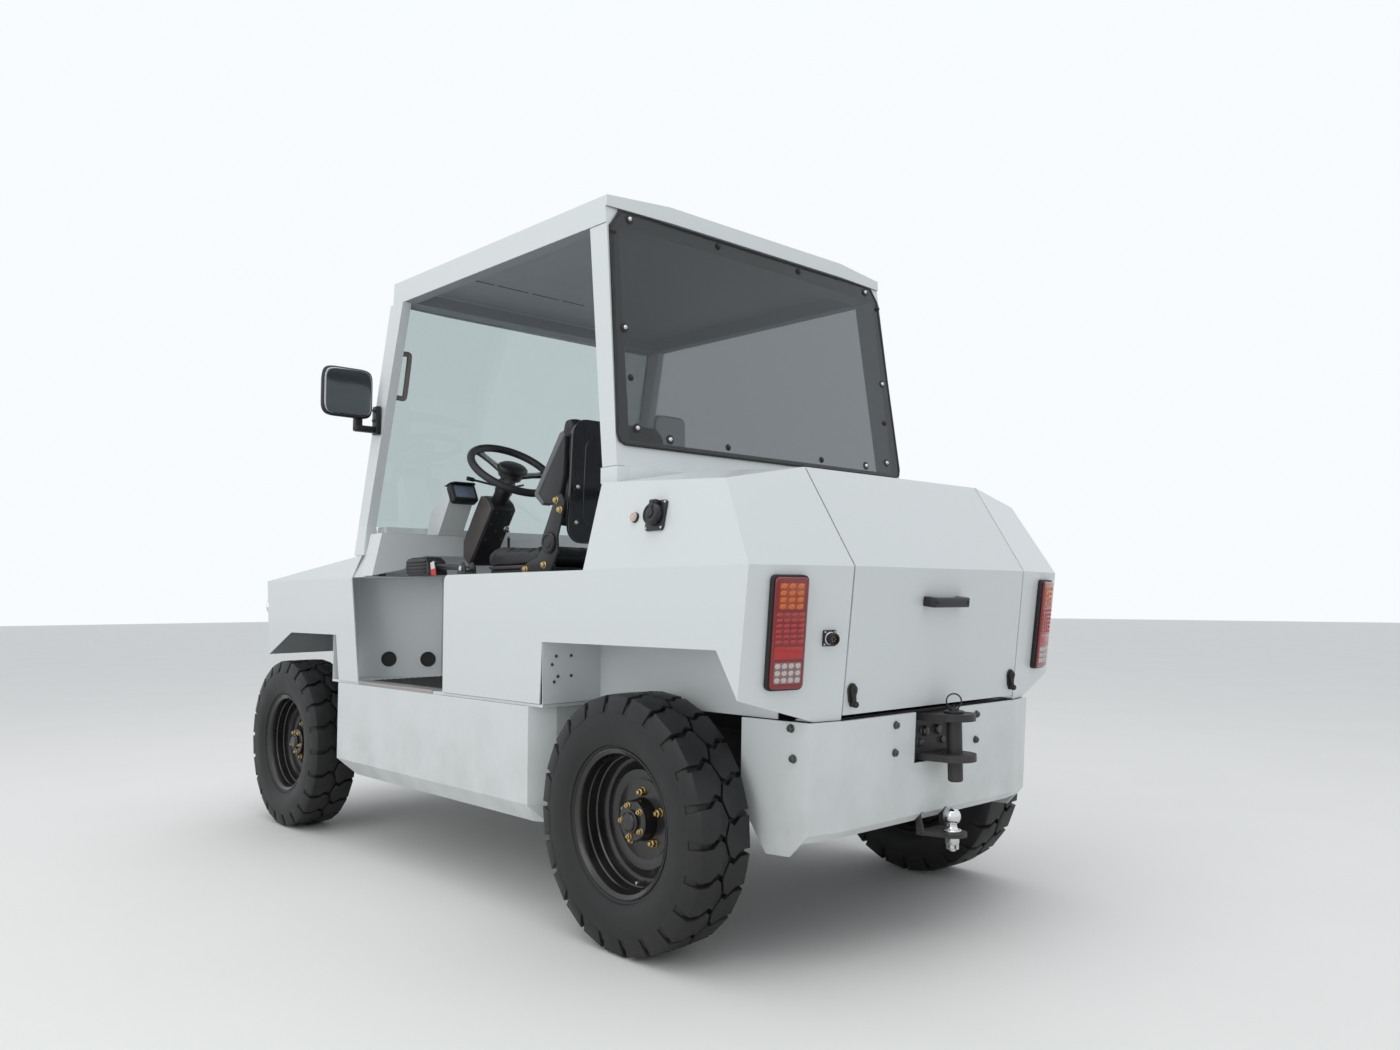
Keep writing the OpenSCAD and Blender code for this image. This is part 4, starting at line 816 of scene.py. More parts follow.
def rounded(half_u, half_v, radius, steps=4):
    """Outline of a rectangle with round corners."""
    outline = []
    for k, (su, sv) in enumerate(((1, 1), (-1, 1), (-1, -1), (1, -1))):
        for i in range(steps + 1):
            t = math.pi / 2 * (k + i / steps)
            outline.append((su * (half_u - radius) + radius * math.cos(t),
                            sv * (half_v - radius) + radius * math.sin(t)))
    return outline


SIDES = ((1, "left"), (-1, "right"))
lens_half_w, lens_half_h = LAMP_W / 2 - 6, LAMP_H / 2 - 5
for side, title in SIDES:
    y, z = sum(LAMP_Y) / 2, sum(LAMP_Z) / 2
    x = -TAIL_X + LOW_RAKE * (SHOULDER - z) + LEAN * (y - FOLD_Y)
    seat = on_face(spot(x, side * y, z), (-1, side * LEAN, -LOW_RAKE))
    tub = cut_plate("lamp_tub_" + title, rounded(LAMP_W / 2, LAMP_H / 2, 15), 0.2, 14, black_rubber, seat,
                    0.002)
    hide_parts("tail_lamps")
    # The lens body takes the darker red, which is painted shade round the fields.
    cut_plate("lamp_lens_" + title, rounded(lens_half_w, lens_half_h, 12), 13, 21.5, red_lens_painted_shade, seat,
              0.004, segments=3)
    for number, (start, end, rows, columns, filled, finish, between) in enumerate(FIELDS):
        top = lens_half_h * (1 - 2 * start)
        low = lens_half_h * (1 - 2 * end)
        half_field = lens_half_w * filled
        field = seat @ Matrix.Translation((0, (top + low) / 2000, 0))
        cut_plate("lamp_field_%s_%d" % (title, number), rounded(half_field, (top - low) / 2, 3), 19, 22.2,
                  between, field, 0.0008)
        if rows == 1:
            continue
        cell_w, cell_h = 2 * half_field / columns, (top - low) / rows
        cell = dome("cell_pattern", cell_h / 2300, 0.0042, finish)
        cell.data.transform(Matrix.Diagonal((1, cell_w / cell_h, 1, 1)))
        places = [((column + 0.5) * cell_w - half_field, (row + 0.5) * cell_h - (top - low) / 2)
                  for row in range(rows) for column in range(columns)]
        marks = marks_on(field, places, 21.6)
        fastened("lamp_cells_%s_%d" % (title, number), cell, marks, finish)
        bpy.data.objects.remove(cell)

# Mirrors: moulded housings on bent brackets, each with a slightly domed glass that
# faces the driver.
# The mirror's metal colour is darker than a real mirror's: a painted dark reflection.
mirror_glass, tree, shader = finish_material("mirror_glass", (0.4, 0.42, 0.44), 0.03, 1.0)
varied_gloss(tree, shader, 0.02, 0.08, 9.0, 4.0)


def rounded_shell(name, low, high, material, taper=0.8):
    """A soft moulded box: wide at the back (low x) and drawn in at the front."""
    form = bmesh.new()
    bmesh.ops.create_cube(form, size=1)
    bmesh.ops.subdivide_edges(form, edges=form.edges[:], cuts=2, use_grid_fill=True)
    size = [(b - a) / 1000 for a, b in zip(low, high)]
    middle = spot(*[(a + b) / 2 for a, b in zip(low, high)])
    for v in form.verts:
        pull = 1 - (1 - taper) * (v.co.x + 0.5)
        v.co = Vector((v.co.x * size[0], v.co.y * pull * size[1], v.co.z * pull * size[2])) + middle
    piece = as_object(name, mesh_of(form, name, outward=False), material)
    soft = piece.modifiers.new("soft", "SUBSURF")
    soft.levels = soft.render_levels = 3
    return belongs(finished(piece, 60), "chassis")


MIRROR_IN, MIRROR_OUT = 723, 942
for side, title in SIDES:
    low, high = sorted((side * MIRROR_IN, side * MIRROR_OUT))
    shell = rounded_shell("mirror_shell_" + title, (1572, low + 1, 1677), (1630, high - 1, 1883),
                          black_plastic)
    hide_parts("mirrors")
    rounded_shell("mirror_glass_" + title, (1570.5, low + 14, 1690), (1580, high - 14, 1870), mirror_glass,
                  1.0)
    bar_box("mirror_stub_" + title, (1586, side * 764, 1636), (1612, side * 796, 1700), black_plastic, 0.006,
            segments=3)
    bar_box("mirror_arm_" + title, (1584, side * 700, 1634), (1614, side * 796, 1660), black_plastic, 0.008,
            segments=3)
    bar_box("mirror_clamp_" + title, (1576, side * 692, 1628), (1618, side * 712, 1742), black_plastic, 0.004)
    marks = [(spot(1597, side * 712, z), (0, side, 0)) for z in (1684, 1724)]
    fastened("mirror_clamp_bolts_" + title, bumper_bolt, marks, dark_steel, 0.8)

# Driver's seat: two foam pads under black vinyl. Each is filled by cloth pressure and
# sewn down along channels; both sit on the pressed frame further down.
def vinyl(name, colour=(0.019, 0.019, 0.021)):
    """Vinyl cloth with a leather grain."""
    return coated(name, colour, 0.42, film=0.06, grain=900.0, bump=0.3, uneven=0.06)


seat_vinyl = vinyl("seat_vinyl")
SEAT_Y = 280
# In metres: how far the filling may move the cover, and how wide and deep a channel is.
SETTLE, CHANNEL_WIDTH, CHANNEL_DEPTH = 0.012, 0.006, 0.005


def cushion(name, outline, half_width, node, facing, channels):
    """A pad lofted from its side outline, filled by cloth pressure, then smoothed and sewn
    down along channels, given as (axis, place in mm), on the side that is sat on."""
    form = bmesh.new()
    rows = []
    for t in (-1.0, -0.97, -0.86, -0.6, -0.3, 0.0, 0.3, 0.6, 0.86, 0.97, 1.0):
        pull = 1 - 0.045 * max(0.0, abs(t) - 0.8) / 0.2
        cx = sum(p[0] for p in outline) / len(outline)
        cz = sum(p[1] for p in outline) / len(outline)
        rows.append([form.verts.new(spot(cx + (x - cx) * pull, SEAT_Y + t * half_width, cz + (z - cz) * pull))
                     for x, z in outline])
    skin(form, rows, ends=(rows[0], rows[-1]))
    piece = as_object(name, mesh_of(form, name), seat_vinyl)
    finished(eased_edges(piece, 0.014, 3, 25), 70)
    grid = piece.modifiers.new("voxels", "REMESH")
    grid.mode = "VOXEL"
    grid.voxel_size = 0.006
    finished(piece, 70)
    before = [v.co.copy() for v in piece.data.vertices]
    cloth = piece.modifiers.new("filling", "CLOTH")
    cloth.settings.use_pressure = True
    cloth.settings.uniform_pressure_force = 4
    cloth.settings.effector_weights.gravity = 0
    for step in range(1, 21):
        bpy.context.scene.frame_set(step)
    swollen = as_built(piece)
    for v, start in zip(swollen.vertices, before):
        move = v.co - start
        if move.length > SETTLE:
            v.co = start + move.normalized() * SETTLE
    piece.modifiers.clear()
    piece.data = swollen
    bpy.context.scene.frame_set(1)
    swollen.shade_smooth()
    soft = piece.modifiers.new("soft", "SUBSURF")
    soft.levels = soft.render_levels = 1
    finished(piece, 80)
    for v, normal in [(v, v.normal.copy()) for v in piece.data.vertices]:
        if normal.dot(Vector(facing)) > 0.5:
            for axis, at in channels:
                gap = abs(v.co[axis] - spot(at, at, at)[axis]) / CHANNEL_WIDTH
                v.co -= normal * CHANNEL_DEPTH * math.exp(-gap * gap)
    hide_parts(node)
    belongs(piece, "chassis")


BASE = ((765, 1100), (1110, 1098), (1130, 1112), (1126, 1142), (1088, 1160), (960, 1152), (840, 1148),
        (775, 1156), (756, 1128))
BACK = ((722, 1228), (700, 1330), (676, 1440), (648, 1560), (632, 1606), (598, 1608), (600, 1480),
        (616, 1330), (624, 1250), (660, 1222))
SIDE_SEAMS = [(1, SEAT_Y - 122), (1, SEAT_Y + 122)]
cushion("seat_base_pad", BASE, 208, "seat_cushion", (0, 0, 1),
        SIDE_SEAMS + [(0, x) for x in (850, 920, 990, 1060)])
cushion("seat_back_pad", BACK, 212, "seat_back", (1, 0, 0),
        SIDE_SEAMS + [(2, z) for z in (1300, 1370, 1440, 1510)])

# Lid fittings: a moulded grip on two feet and two rubber latches that hook over pegs
# on the bumper. All are black and move with the lid.


def lathed(name, outline, material, place, body="chassis", steps=32, smooth=32,
           closed=False):
    """A turned piece standing on a face, from an outline of (height, radius) in mm."""
    form = bmesh.new()
    skin(form, [ring_points(form, r / 1000, z / 1000, steps) for z, r in outline], closed)
    mesh = mesh_of(form, name, place)
    return belongs(finished(as_object(name, mesh, material), smooth), body)


def hoop(radius, wire, sides=12):
    """Outline of a closed ring of round wire."""
    return [(wire / 2 * math.sin(math.tau * i / sides), radius + wire / 2 * math.cos(math.tau * i / sides))
            for i in range(sides)]


def teardrop(big, big_v, small, small_v):
    """Outline with a large round end above a small one."""
    upper = [(big * math.cos(math.radians(t)),
              big_v + big * math.sin(math.radians(t))) for t in range(-15, 200, 15)]
    lower = [(small * math.cos(math.radians(t)),
              small_v + small * math.sin(math.radians(t))) for t in range(200, 345, 20)]
    return upper + lower


def on_tail(y, z):
    """A face on the lid's lower rear slope."""
    return on_face(spot(-TAIL_X + LOW_RAKE * (SHOULDER - z), y, z), (-1, 0, -LOW_RAKE))


GRIP_Y, GRIP_Z = 13, 967
LATCH_Y, LATCH_Z = 392, 726
HANDLE = ((-92, 0), (-92, 30), (-84, 39), (84, 39), (92, 30), (92, 0), (64, 0), (60, 23), (-60, 23), (-64, 0))
sideways = turn_by(90, "X")
grip = cut_plate("lid_grip", HANDLE, -14, 14, black_plastic, on_tail(GRIP_Y, GRIP_Z) @ sideways, 0.0035,
                 "lid", segments=3)
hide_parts("lid_fittings")
for u in (-76, 76):
    lathed("lid_grip_plug_%d" % (u + 76), ((38, 0), (38, 5.5), (39.8, 5.5), (40, 4.5), (39.2, 4), (39.2, 0)),
           black_rubber, on_tail(GRIP_Y, GRIP_Z) @ Matrix.Translation((u / 1000, 0, 0)), "lid", steps=16)
for side, title in SIDES:
    seat = on_tail(side * LATCH_Y, LATCH_Z)
    cut_plate("latch_base_" + title, teardrop(17.5, 9, 11, -18), 0, 5, black_rubber, seat, 0.0015, "lid")
    cut_plate("latch_hood_" + title, teardrop(13, 9, 8, -8), 4.5, 14, black_rubber, seat, 0.004, "lid",
              segments=3)
    lathed("latch_stud_" + title, ((13, 0), (13, 7), (16, 6.5), (17.5, 4), (18, 0)), black_rubber,
           seat @ Matrix.Translation((0, 0.009, 0)), "lid", steps=20)
    cut_plate("latch_tongue_" + title, ((-7, -4), (7, -4), (11, -28), (9, -36), (2, -38), (-3, -34)), 7, 15,
              black_rubber, seat, 0.003, "lid", segments=3)
    lathed("latch_peg_" + title, ((0, 0), (0, 9), (19, 8.5), (22, 6), (23, 0)), black_rubber,
           seat @ Matrix.Translation((0.005, -0.029, 0)), "lid", steps=20)

# Sockets: the charging socket under its spring cap and a push button on the left side,
# and the trailer's plug socket on the tail beside the lamp.
cream_button = coated("cream_button", (0.66, 0.52, 0.44), 0.35, film=0.2, grain=500.0, bump=0.08)
LEFT_SIDE = 747


def on_side(x, z):
    """A face on the slope of the left side."""
    return on_face(spot(x, LEFT_SIDE - LEAN * (z - SHOULDER), z), (0, 1, LEAN))


seat = on_side(-131, 1203)
flange = cut_plate("socket_flange", rounded(38, 43, 9), 0, 8, black_plastic, seat, 0.0015)
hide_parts("side_sockets")
lathed("socket_cap", ((8, 0), (8, 28), (11, 29), (12, 31), (25, 31), (29, 29), (30.5, 27), (30.5, 23),
                      (28.8, 22.3), (28.8, 14), (32, 13), (33.5, 9), (34, 0)), black_plastic, seat, steps=48)
cut_plate("socket_hinge", ((-13, 26), (13, 26), (15, 41), (-15, 41)), 8, 27, black_plastic, seat, 0.003,
          segments=3)
cut_plate("socket_spring_arm", ((-6, 8), (6, 8), (9, 36), (-9, 36)), 26, 31.5, black_plastic, seat, 0.002)
socket_screws = marks_on(seat, [(u, v) for u in (-31, 31) for v in (-36, 36)], 8)
fastened("socket_screws", pan_head, socket_screws, bright_steel, 0.42)
seat = on_side(-37, 1203)
lathed("button_collar", ((0, 0), (0, 15), (5, 15), (7, 13.8), (7, 0)), black_plastic, seat)
lathed("button_ring", ((6.5, 0), (6.5, 13.2), (11, 12.8), (12.6, 11.2), (12.6, 9.8), (11.2, 9.2), (11.2, 0)),
       cream_button, seat)
lathed("button_face", ((11, 0), (11, 7.4), (13, 6.6), (13.8, 4), (14, 0)), cream_button, seat)
PLUG_Y, PLUG_Z = 486.5, 873
seat = on_face(spot(-TAIL_X + LOW_RAKE * (SHOULDER - PLUG_Z) + LEAN * (PLUG_Y - FOLD_Y), PLUG_Y, PLUG_Z),
               (-1, LEAN, -LOW_RAKE))
cut_plate("plug_flange", rounded(21, 21, 3), 0, 5, black_plastic, seat, 0.0012)
lathed("plug_collar", ((4.5, 0), (4.5, 17), (7, 17), (8, 15), (19, 15), (20.5, 14), (20.5, 0)), bright_steel,
       seat)
lathed("plug_mouth", ((12, 0), (12, 15.6), (26, 15.9), (28, 14.6), (28, 11.4), (21.5, 10.8), (21.5, 0)),
       black_rubber, seat)
plug_screws = marks_on(seat, [(u, v) for u in (-16, 16) for v in (-16, 16)], 5)
fastened("plug_screws", pan_head, plug_screws, bright_steel, 0.3)
pin_circle = [(6.5 * math.cos(a * math.tau / 6), 6.5 * math.sin(a * math.tau / 6)) for a in range(6)]
plug_pins = marks_on(seat, pin_circle, 21.4)
fastened("plug_pins", pan_head, plug_pins, brass_plate, 0.16)

# Towing jaw and ball: the drop pin with its pull ring stands in the two black plates,
# two bolts hold the back plate, and the chromed ball has a castle nut under its plate.
chrome_ball = coated("chrome_ball", (0.72, 0.72, 0.73), 0.1, metallic=1.0, film=0.12, grain=700.0, bump=0.03,
                     uneven=0.05)
JAW_PIN_X, JAW_BACK_X, BALL_X, BALL_Z, BALL_R = -596, -513, -582, 357, 25
jaw_axis = Matrix.Translation(spot(JAW_PIN_X, 0, 0))
ball_axis = Matrix.Translation(spot(BALL_X, 0, 0))
pin = lathed("drop_pin", ((456, 0), (456, 17.5), (460, 21.5), (648.4, 21.5), (648.4, 27.5), (649.5, 28.5),
                          (654, 28.5), (655.3, 27), (655.3, 15), (657, 14.5), (661.5, 14.5), (663.3, 12.5),
                          (663.3, 0)), chassis_paint, jaw_axis, steps=48)
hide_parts("hitch_pin")
for name, radius, wire_d, height, turn, steps in (("pull_ring", 21.5, 4.4, 681.5, 47, 40),
                                                  ("pull_eye", 5.5, 3.6, 664.5, -43, 20)):
    hung = Matrix.Translation(spot(JAW_PIN_X, 0, height)) @ turn_by(turn, "Z") @ turn_by(90, "X")
    lathed(name, hoop(radius, wire_d), chassis_paint, hung, steps=steps, closed=True)
ball_outline = [(314, 0), (314, 25), (315, 26), (319, 26), (321, 24.5), (321.6, 17), (325, 14.6), (330, 13.6),
                (336, 13.5)]
ball_outline += [(BALL_Z + BALL_R * math.sin(math.radians(t)),
                  BALL_R * math.cos(math.radians(t))) for t in range(-54, 73, 6)]
ball = lathed("tow_ball_head", ball_outline + [(381.6, 0)], chrome_ball, ball_axis,
              steps=48, smooth=25)
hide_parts("tow_ball")
lathed("tow_ball_stud", ((260, 0), (260, 8), (262, 9.4), (303, 9.4), (303, 0)), bright_steel, ball_axis)
hitch_nut = screwed("hitch_nut_pattern", 0.037, 0.024, 0.019, 0.0, bright_steel)
fastened("ball_nut", hitch_nut, [(spot(BALL_X, 0, 302), (0, 0, -1))], bright_steel)
for k in range(6):
    sector = [(r * math.cos(math.radians(t)), r * math.sin(math.radians(t)))
              for r, t in ((11, -20), (18, -21), (18.4, 0), (18, 21), (11, 20), (11, 0))]
    cut_plate("ball_nut_crown_%d" % k, sector, 266, 279, bright_steel,
              ball_axis @ Matrix.Rotation(k * math.tau / 6, 4, "Z"), 0.0008)
jaw_bolt = screwed("jaw_bolt_pattern", 0.024, 0.012, 0.012, 0.001, dark_steel)
fastened("jaw_bolts", jaw_bolt, [(spot(JAW_BACK_X, y, 594), (-1, 0, 0)) for y in (-31, 31)], dark_steel)
fastened("jaw_bolts_low", jaw_bolt, [(spot(JAW_BACK_X, y, 563), (-1, 0, 0)) for y in (-54, 54)], dark_steel,
         0.8)

# Steering wheel: a moulded rim on three arms, two of them with bright trims, and a
# domed pad over the hub. All of it turns in the column.
HELM_X, HELM_Z, COLUMN_TILT = 1270, 1492, -37
helm = Matrix.Translation(spot(HELM_X, SEAT_Y, HELM_Z)) @ turn_by(COLUMN_TILT, "Y")
grip_foam = coated("grip_foam", (0.022, 0.022, 0.024), 0.5, film=0.05, grain=1400.0, bump=0.25)
satin_trim = coated("satin_trim", (0.62, 0.62, 0.62), 0.22, metallic=0.9, film=0.08, grain=900.0, bump=0.04)
rim_ring = lathed("helm_rim", hoop(170, 31, 20), grip_foam, helm, "helm", steps=96, closed=True, smooth=60)
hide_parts("steering_wheel")
ARM = ((22, -24), (60, -19), (100, -15), (140, -17), (166, -24), (166, 24), (140, 17), (100, 15), (60, 19),
       (22, 24))
TRIM = ((44, -17), (70, -14), (104, -11), (136, -12), (155, -16), (155, 16), (136, 12), (104, 11), (70, 14),
        (44, 17))
DISH = Matrix.Translation((0, 0, -0.018)) @ turn_by(-7, "Y")
for turn in (30, 150, 270):
    spoke = helm @ turn_by(turn, "Z") @ DISH
    cut_plate("helm_arm_%d" % turn, ARM, -17, -7, grip_foam, spoke, 0.003, "helm", segments=3)
    cut_plate("helm_trim_%d" % turn, TRIM, -8, -4, satin_trim, spoke, 0.0015, "helm")
PAD_SHAPE = Matrix.Diagonal((0.86, 1.2, 1, 1))
lathed("helm_hub", ((-34, 0), (-34, 42), (-30, 48), (-12, 50), (-4, 47), (-4, 0)), grip_foam, helm, "helm",
       steps=48)
lathed("helm_pad", ((-6, 0), (-6, 52), (4, 56), (12, 54), (19, 46), (23, 32), (25, 16), (25.4, 0)),
       black_plastic, helm @ PAD_SHAPE, "helm", steps=48, smooth=50)
lathed("helm_pad_ring", hoop(34, 2.4, 8), grip_foam, helm @ Matrix.Translation((0, 0, 0.0218)) @ PAD_SHAPE,
       "helm", steps=48, closed=True)

# Steering column: a moulded cover in two halves held by screws, the switch collar with
# its stalks, and the key with its ring and tag. The left half is a lighter brown-grey
# than the black cover behind it: painted light on the face turned to the sky.
# Lighter copy of the cover's dark plastic for its left half: painted light on the sky-lit face.
lit_side_cover_grey = coated("lit_side_cover_grey", (0.095, 0.083, 0.08), 0.38, film=0.12, grain=700.0, bump=0.14)
COVER = ((1323, 1338), (1341, 1365), (1372, 1388), (1403, 1398), (1470, 1310), (1538.5, 1219), (1538.5, 1145),
         (1495, 1112), (1440, 1182))


def side_cut(name, outline, low_y, high_y, material, width, segments=2):
    """A piece cut to an outline of (x, z) in mm and reaching from one y to another."""
    low_y, high_y = sorted((low_y, high_y))
    middle = sum(x for x, _ in outline) / len(outline), sum(z for _, z in outline) / len(outline)
    place = Matrix.Translation(spot(middle[0], 0, middle[1])) @ turn_by(90, "X")
    shape = [(x - middle[0], z - middle[1]) for x, z in outline]
    return cut_plate(name, shape, -high_y, -low_y, material, place, width, segments=segments)


cover = side_cut("column_cover", COVER, 222, 331, black_plastic, 0.008, segments=3)
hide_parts("steering_column")
# The left half takes the lighter grey, which is painted light.
left_half = [(x + 3, z - 2) for x, z in COVER[:5]]
left_half += [(1538.5, 1213), (1538.5, 1149), (1497, 1118), (1443, 1184)]
side_cut("column_cover_left", left_half, 330, 340, lit_side_cover_grey, 0.005, segments=3)
lathed("column_collar", ((-192, 0), (-192, 33), (-110, 33), (-104, 36), (-60, 36), (-52, 32), (-42, 30),
                         (-40, 14), (-28.5, 12), (-28.5, 0)), black_plastic, helm,
       steps=40)
COVER_SCREWS = ((-38, -172), (30, -172), (-30, -215), (34, -228), (0, -262), (-40, -300), (32, -305))
cover_screws = [(helm @ Vector((-0.0508, y / 1000, z / 1000)), helm.to_3x3() @ Vector((-1, 0, 0)))
                for y, z in COVER_SCREWS]
fastened("cover_screws", pan_head, cover_screws, dark_steel, 0.45)


def bent_rod(name, points, diameter, material, closed=False, round_off=True):
    """A bent rod or hose through points in mm."""
    path = bpy.data.curves.new(name, "CURVE")
    path.dimensions = "3D"
    path.bevel_depth = diameter / 2000
    path.bevel_resolution = 4
    path.use_fill_caps = True
    path.resolution_u = 6
    line = path.splines.new("NURBS" if round_off else "POLY")
    line.points.add(len(points) - 1)
    for place, (x, y, z) in zip(line.points, points):
        place.co = (*spot(x, y, z), 1)
    line.use_cyclic_u = closed
    if round_off:
        line.order_u = 3
        line.use_endpoint_u = not closed
    drawn = bpy.data.objects.new(name + "_path", path)
    bpy.context.collection.objects.link(drawn)
    mesh = as_built(drawn)
    bpy.data.objects.remove(drawn)
    form = bmesh.new()
    form.from_mesh(mesh)
    bmesh.ops.remove_doubles(form, verts=form.verts, dist=0.00002)
    bmesh.ops.recalc_face_normals(form, faces=form.faces)
    form.to_mesh(mesh)
    form.free()
    mesh.name = name
    return belongs(finished(as_object(name, mesh, material), 45), "chassis")


bent_rod("turn_stalk", ((1316, 316, 1430), (1330, 345, 1436), (1352, 392, 1448), (1362, 428, 1455)), 9,
         black_plastic)
bent_rod("turn_stalk_knob", ((1355, 402, 1450.5), (1363, 430, 1456)), 17, black_plastic)
bent_rod("horn_stalk", ((1310, 250, 1428), (1322, 222, 1434), (1340, 180, 1444)), 9, black_plastic)
key_seat = helm @ Matrix.Translation((-0.05, -0.043, -0.245)) @ turn_by(-90, "Y")
lathed("key_lock", ((0, 0), (0, 13), (5, 13), (7, 11), (7, 3), (16, 2.6), (16, 0)), bright_steel, key_seat)
lathed("key_ring", hoop(13, 1.8, 8), bright_steel,
       Matrix.Translation(spot(1359, 237, 1242)) @ turn_by(90, "X"),
       steps=28, closed=True)
side_cut("key_bow", ((1352, 1250), (1358, 1262), (1366, 1266), (1374, 1260), (1372, 1250), (1362, 1246)),
         235.5, 238.5, bright_steel, 0.0006)
side_cut("key_tag", ((1350, 1180), (1365, 1178), (1368, 1222), (1358, 1230), (1350, 1222)), 234, 237,
         black_rubber, 0.0008)

# Display: a black housing with a visor on the white pod, its blue-grey screen faces the
# driver. The screen shows nothing; the pale patches in its colour are a painted sheen.
screen, tree, shader = finish_material("screen", (0.1, 0.14, 0.2), 0.12)
# Painted sheen: noise pales the screen's colour in patches in place of reflected sky.
painted_screen_sheen = textured(tree, Scale=14.0, Detail=2.0)
blend(tree, painted_screen_sheen, "Fac", (0.09, 0.13, 0.2), (0.2, 0.24, 0.3), shader)
pod_face = on_face(spot(1452, 400, 1397), (-1, 0, 0.52))
cut_plate("display_housing", rounded(58, 41, 13), -8, 24, black_plastic, pod_face, 0.004, segments=3)
cut_plate("display_bezel", rounded(52, 35, 9), 23, 27, grip_foam, pod_face, 0.0015)
cut_plate("display_screen", rounded(44, 27, 4), 26, 28, screen, pod_face, 0.0008)
visor = pod_face @ Matrix.Translation((0, 0.043, 0)) @ turn_by(-78, "X")
cut_plate("display_visor", ((-60, -14), (60, -14), (58, 30), (46, 44), (-46, 44), (-58, 30)), -2, 2,
          black_plastic, visor @ turn_by(180, "X"), 0.0012)

# Seat frame: a pressed steel base on rails, and two side plates with the round covers of
# the recliner. Painted black and held by plated bolts.
ARM_PLATE = ((848, 1064), (846, 1086), (800, 1104), (742, 1122), (716, 1150), (714, 1192), (690, 1232),
             (652, 1300), (636, 1326), (604, 1334), (586, 1306), (606, 1238), (626, 1186), (622, 1140),
             (650, 1096), (676, 1064))
frame_pan = bar_box("seat_pan", (702, 82, 1050.4), (1104, 478, 1086), chassis_paint, 0.006,
                    segments=3)
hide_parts("seat_frame")
for side, title in SIDES:
    side_cut("seat_side_plate_" + title, ARM_PLATE, SEAT_Y + side * 227, SEAT_Y + side * 235, chassis_paint,
             0.002)
    face = on_face(spot(668, SEAT_Y + side * 235, 1168), (0, side, 0))
    lathed("recliner_cover_" + title, ((0, 0), (0, 37), (7, 37), (12, 33), (13, 27), (10, 24), (10, 20),
                                       (13, 17), (14, 0)), black_plastic, face, steps=40)
    seat_marks = [(spot(x, SEAT_Y + side * 235, z), (0, side, 0))
                  for x, z in ((610, 1278), (702, 1093), (815, 1080), (632, 1312))]
    seat_bolt = screwed("seat_bolt_pattern", 0.02, 0.011, 0.011, 0.002, brass_plate)
    fastened("seat_bolts_" + title, seat_bolt, seat_marks, brass_plate, 0.9)
    bpy.data.objects.remove(seat_bolt)
    bar_box("seat_rail_" + title, (720, SEAT_Y + side * 190 - 18, 1086),
            (1100, SEAT_Y + side * 190 + 18, 1098), dark_steel, 0.003)

# Seat back: side bolsters with a light grey strip down their front edges, a painted
# highlight where the bolsters' side faces catch the sky, and a moulded shell behind the pad
# with a row of stitches and two screws on each side.
# The strip's grey is a painted highlight: the same black vinyl where the sky lights the bolster's side.
sky_lit_strip_vinyl = vinyl("sky_lit_strip_vinyl", (0.13, 0.135, 0.145))
shell_film = coated("shell_film", (0.02, 0.022, 0.027), 0.16, film=0.05, grain=90.0, bump=0.35, uneven=0.08,
                    coat=0.5)
WING = ((604, 1538), (622, 1544), (766, 1352), (764, 1336), (729, 1308), (690, 1300), (640, 1306),
        (612, 1400))
STRIP = ((602, 1536), (612, 1550), (630, 1546), (780, 1350), (776, 1334), (731, 1300), (722, 1312),
         (756, 1344), (740, 1364))
for side, title in SIDES:
    side_cut("seat_wing_" + title, WING, SEAT_Y + side * 190, SEAT_Y + side * 222, seat_vinyl, 0.008,
             segments=3)
    side_cut("seat_wing_strip_" + title, STRIP, SEAT_Y + side * 188, SEAT_Y + side * 225, sky_lit_strip_vinyl, 0.005,
             segments=3)
shell_face = on_face(spot(600, SEAT_Y, 1380), (-1, 0, -0.07))
cut_plate("seat_shell", rounded(205, 214, 60, 6), -6, 9, shell_film, shell_face, 0.004,
          segments=3, smooth=60)
cut_plate("seat_shell_panel", rounded(150, 160, 50, 6), 8, 13, shell_film, shell_face, 0.003,
          segments=3, smooth=60)
stitches = marks_on(shell_face, [(side * 186, 20 * k - 130) for side in (1, -1) for k in range(14)], 9)
fastened("seat_stitches", pan_cap, stitches, black_rubber, 0.42)
shell_screws = marks_on(shell_face, [(u, v) for u in (-172, 172) for v in (-20, -142)], 9)
fastened("seat_shell_screws", pan_head, shell_screws, bright_steel, 0.8)

# Controls: the parking brake's lever with its ribbed grip and tag by the door, two
# pedals with ribbed pads on the firewall, and the grey grab handle in the front pillar.
grab_grey = coated("grab_grey", (0.2, 0.182, 0.168), 0.45, film=0.15, grain=700.0, bump=0.2)
tag_red = coated("tag_red", (0.55, 0.03, 0.03), 0.4, film=0.1, grain=500.0)
tag_white = coated("tag_white", (0.7, 0.68, 0.64), 0.4, film=0.1, grain=500.0)
lever = bent_rod("brake_lever", ((1002, 640, 1083), (1060, 640, 1092), (1130, 642, 1094), (1210, 645, 1096)),
                 22, chassis_paint)
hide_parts("driver_controls")
for y in (616, 656):
    side_cut("brake_cheek_%d" % y, ((972, 1050.4), (1030, 1050.4), (1030, 1072), (1016, 1102), (994, 1108),
                                    (976, 1092)), y, y + 6, chassis_paint, 0.0015)
lathed("brake_pivot", ((0, 0), (0, 9), (55, 9), (55, 0)), bright_steel,
       on_face(spot(1002, 611, 1086), (0, 1, 0)), steps=20)
side_cut("brake_grip", ((1192, 1066), (1206, 1112), (1222, 1126), (1356, 1130), (1370, 1118), (1368, 1076),
                        (1352, 1063)), 603, 685, black_plastic, 0.007, segments=3)
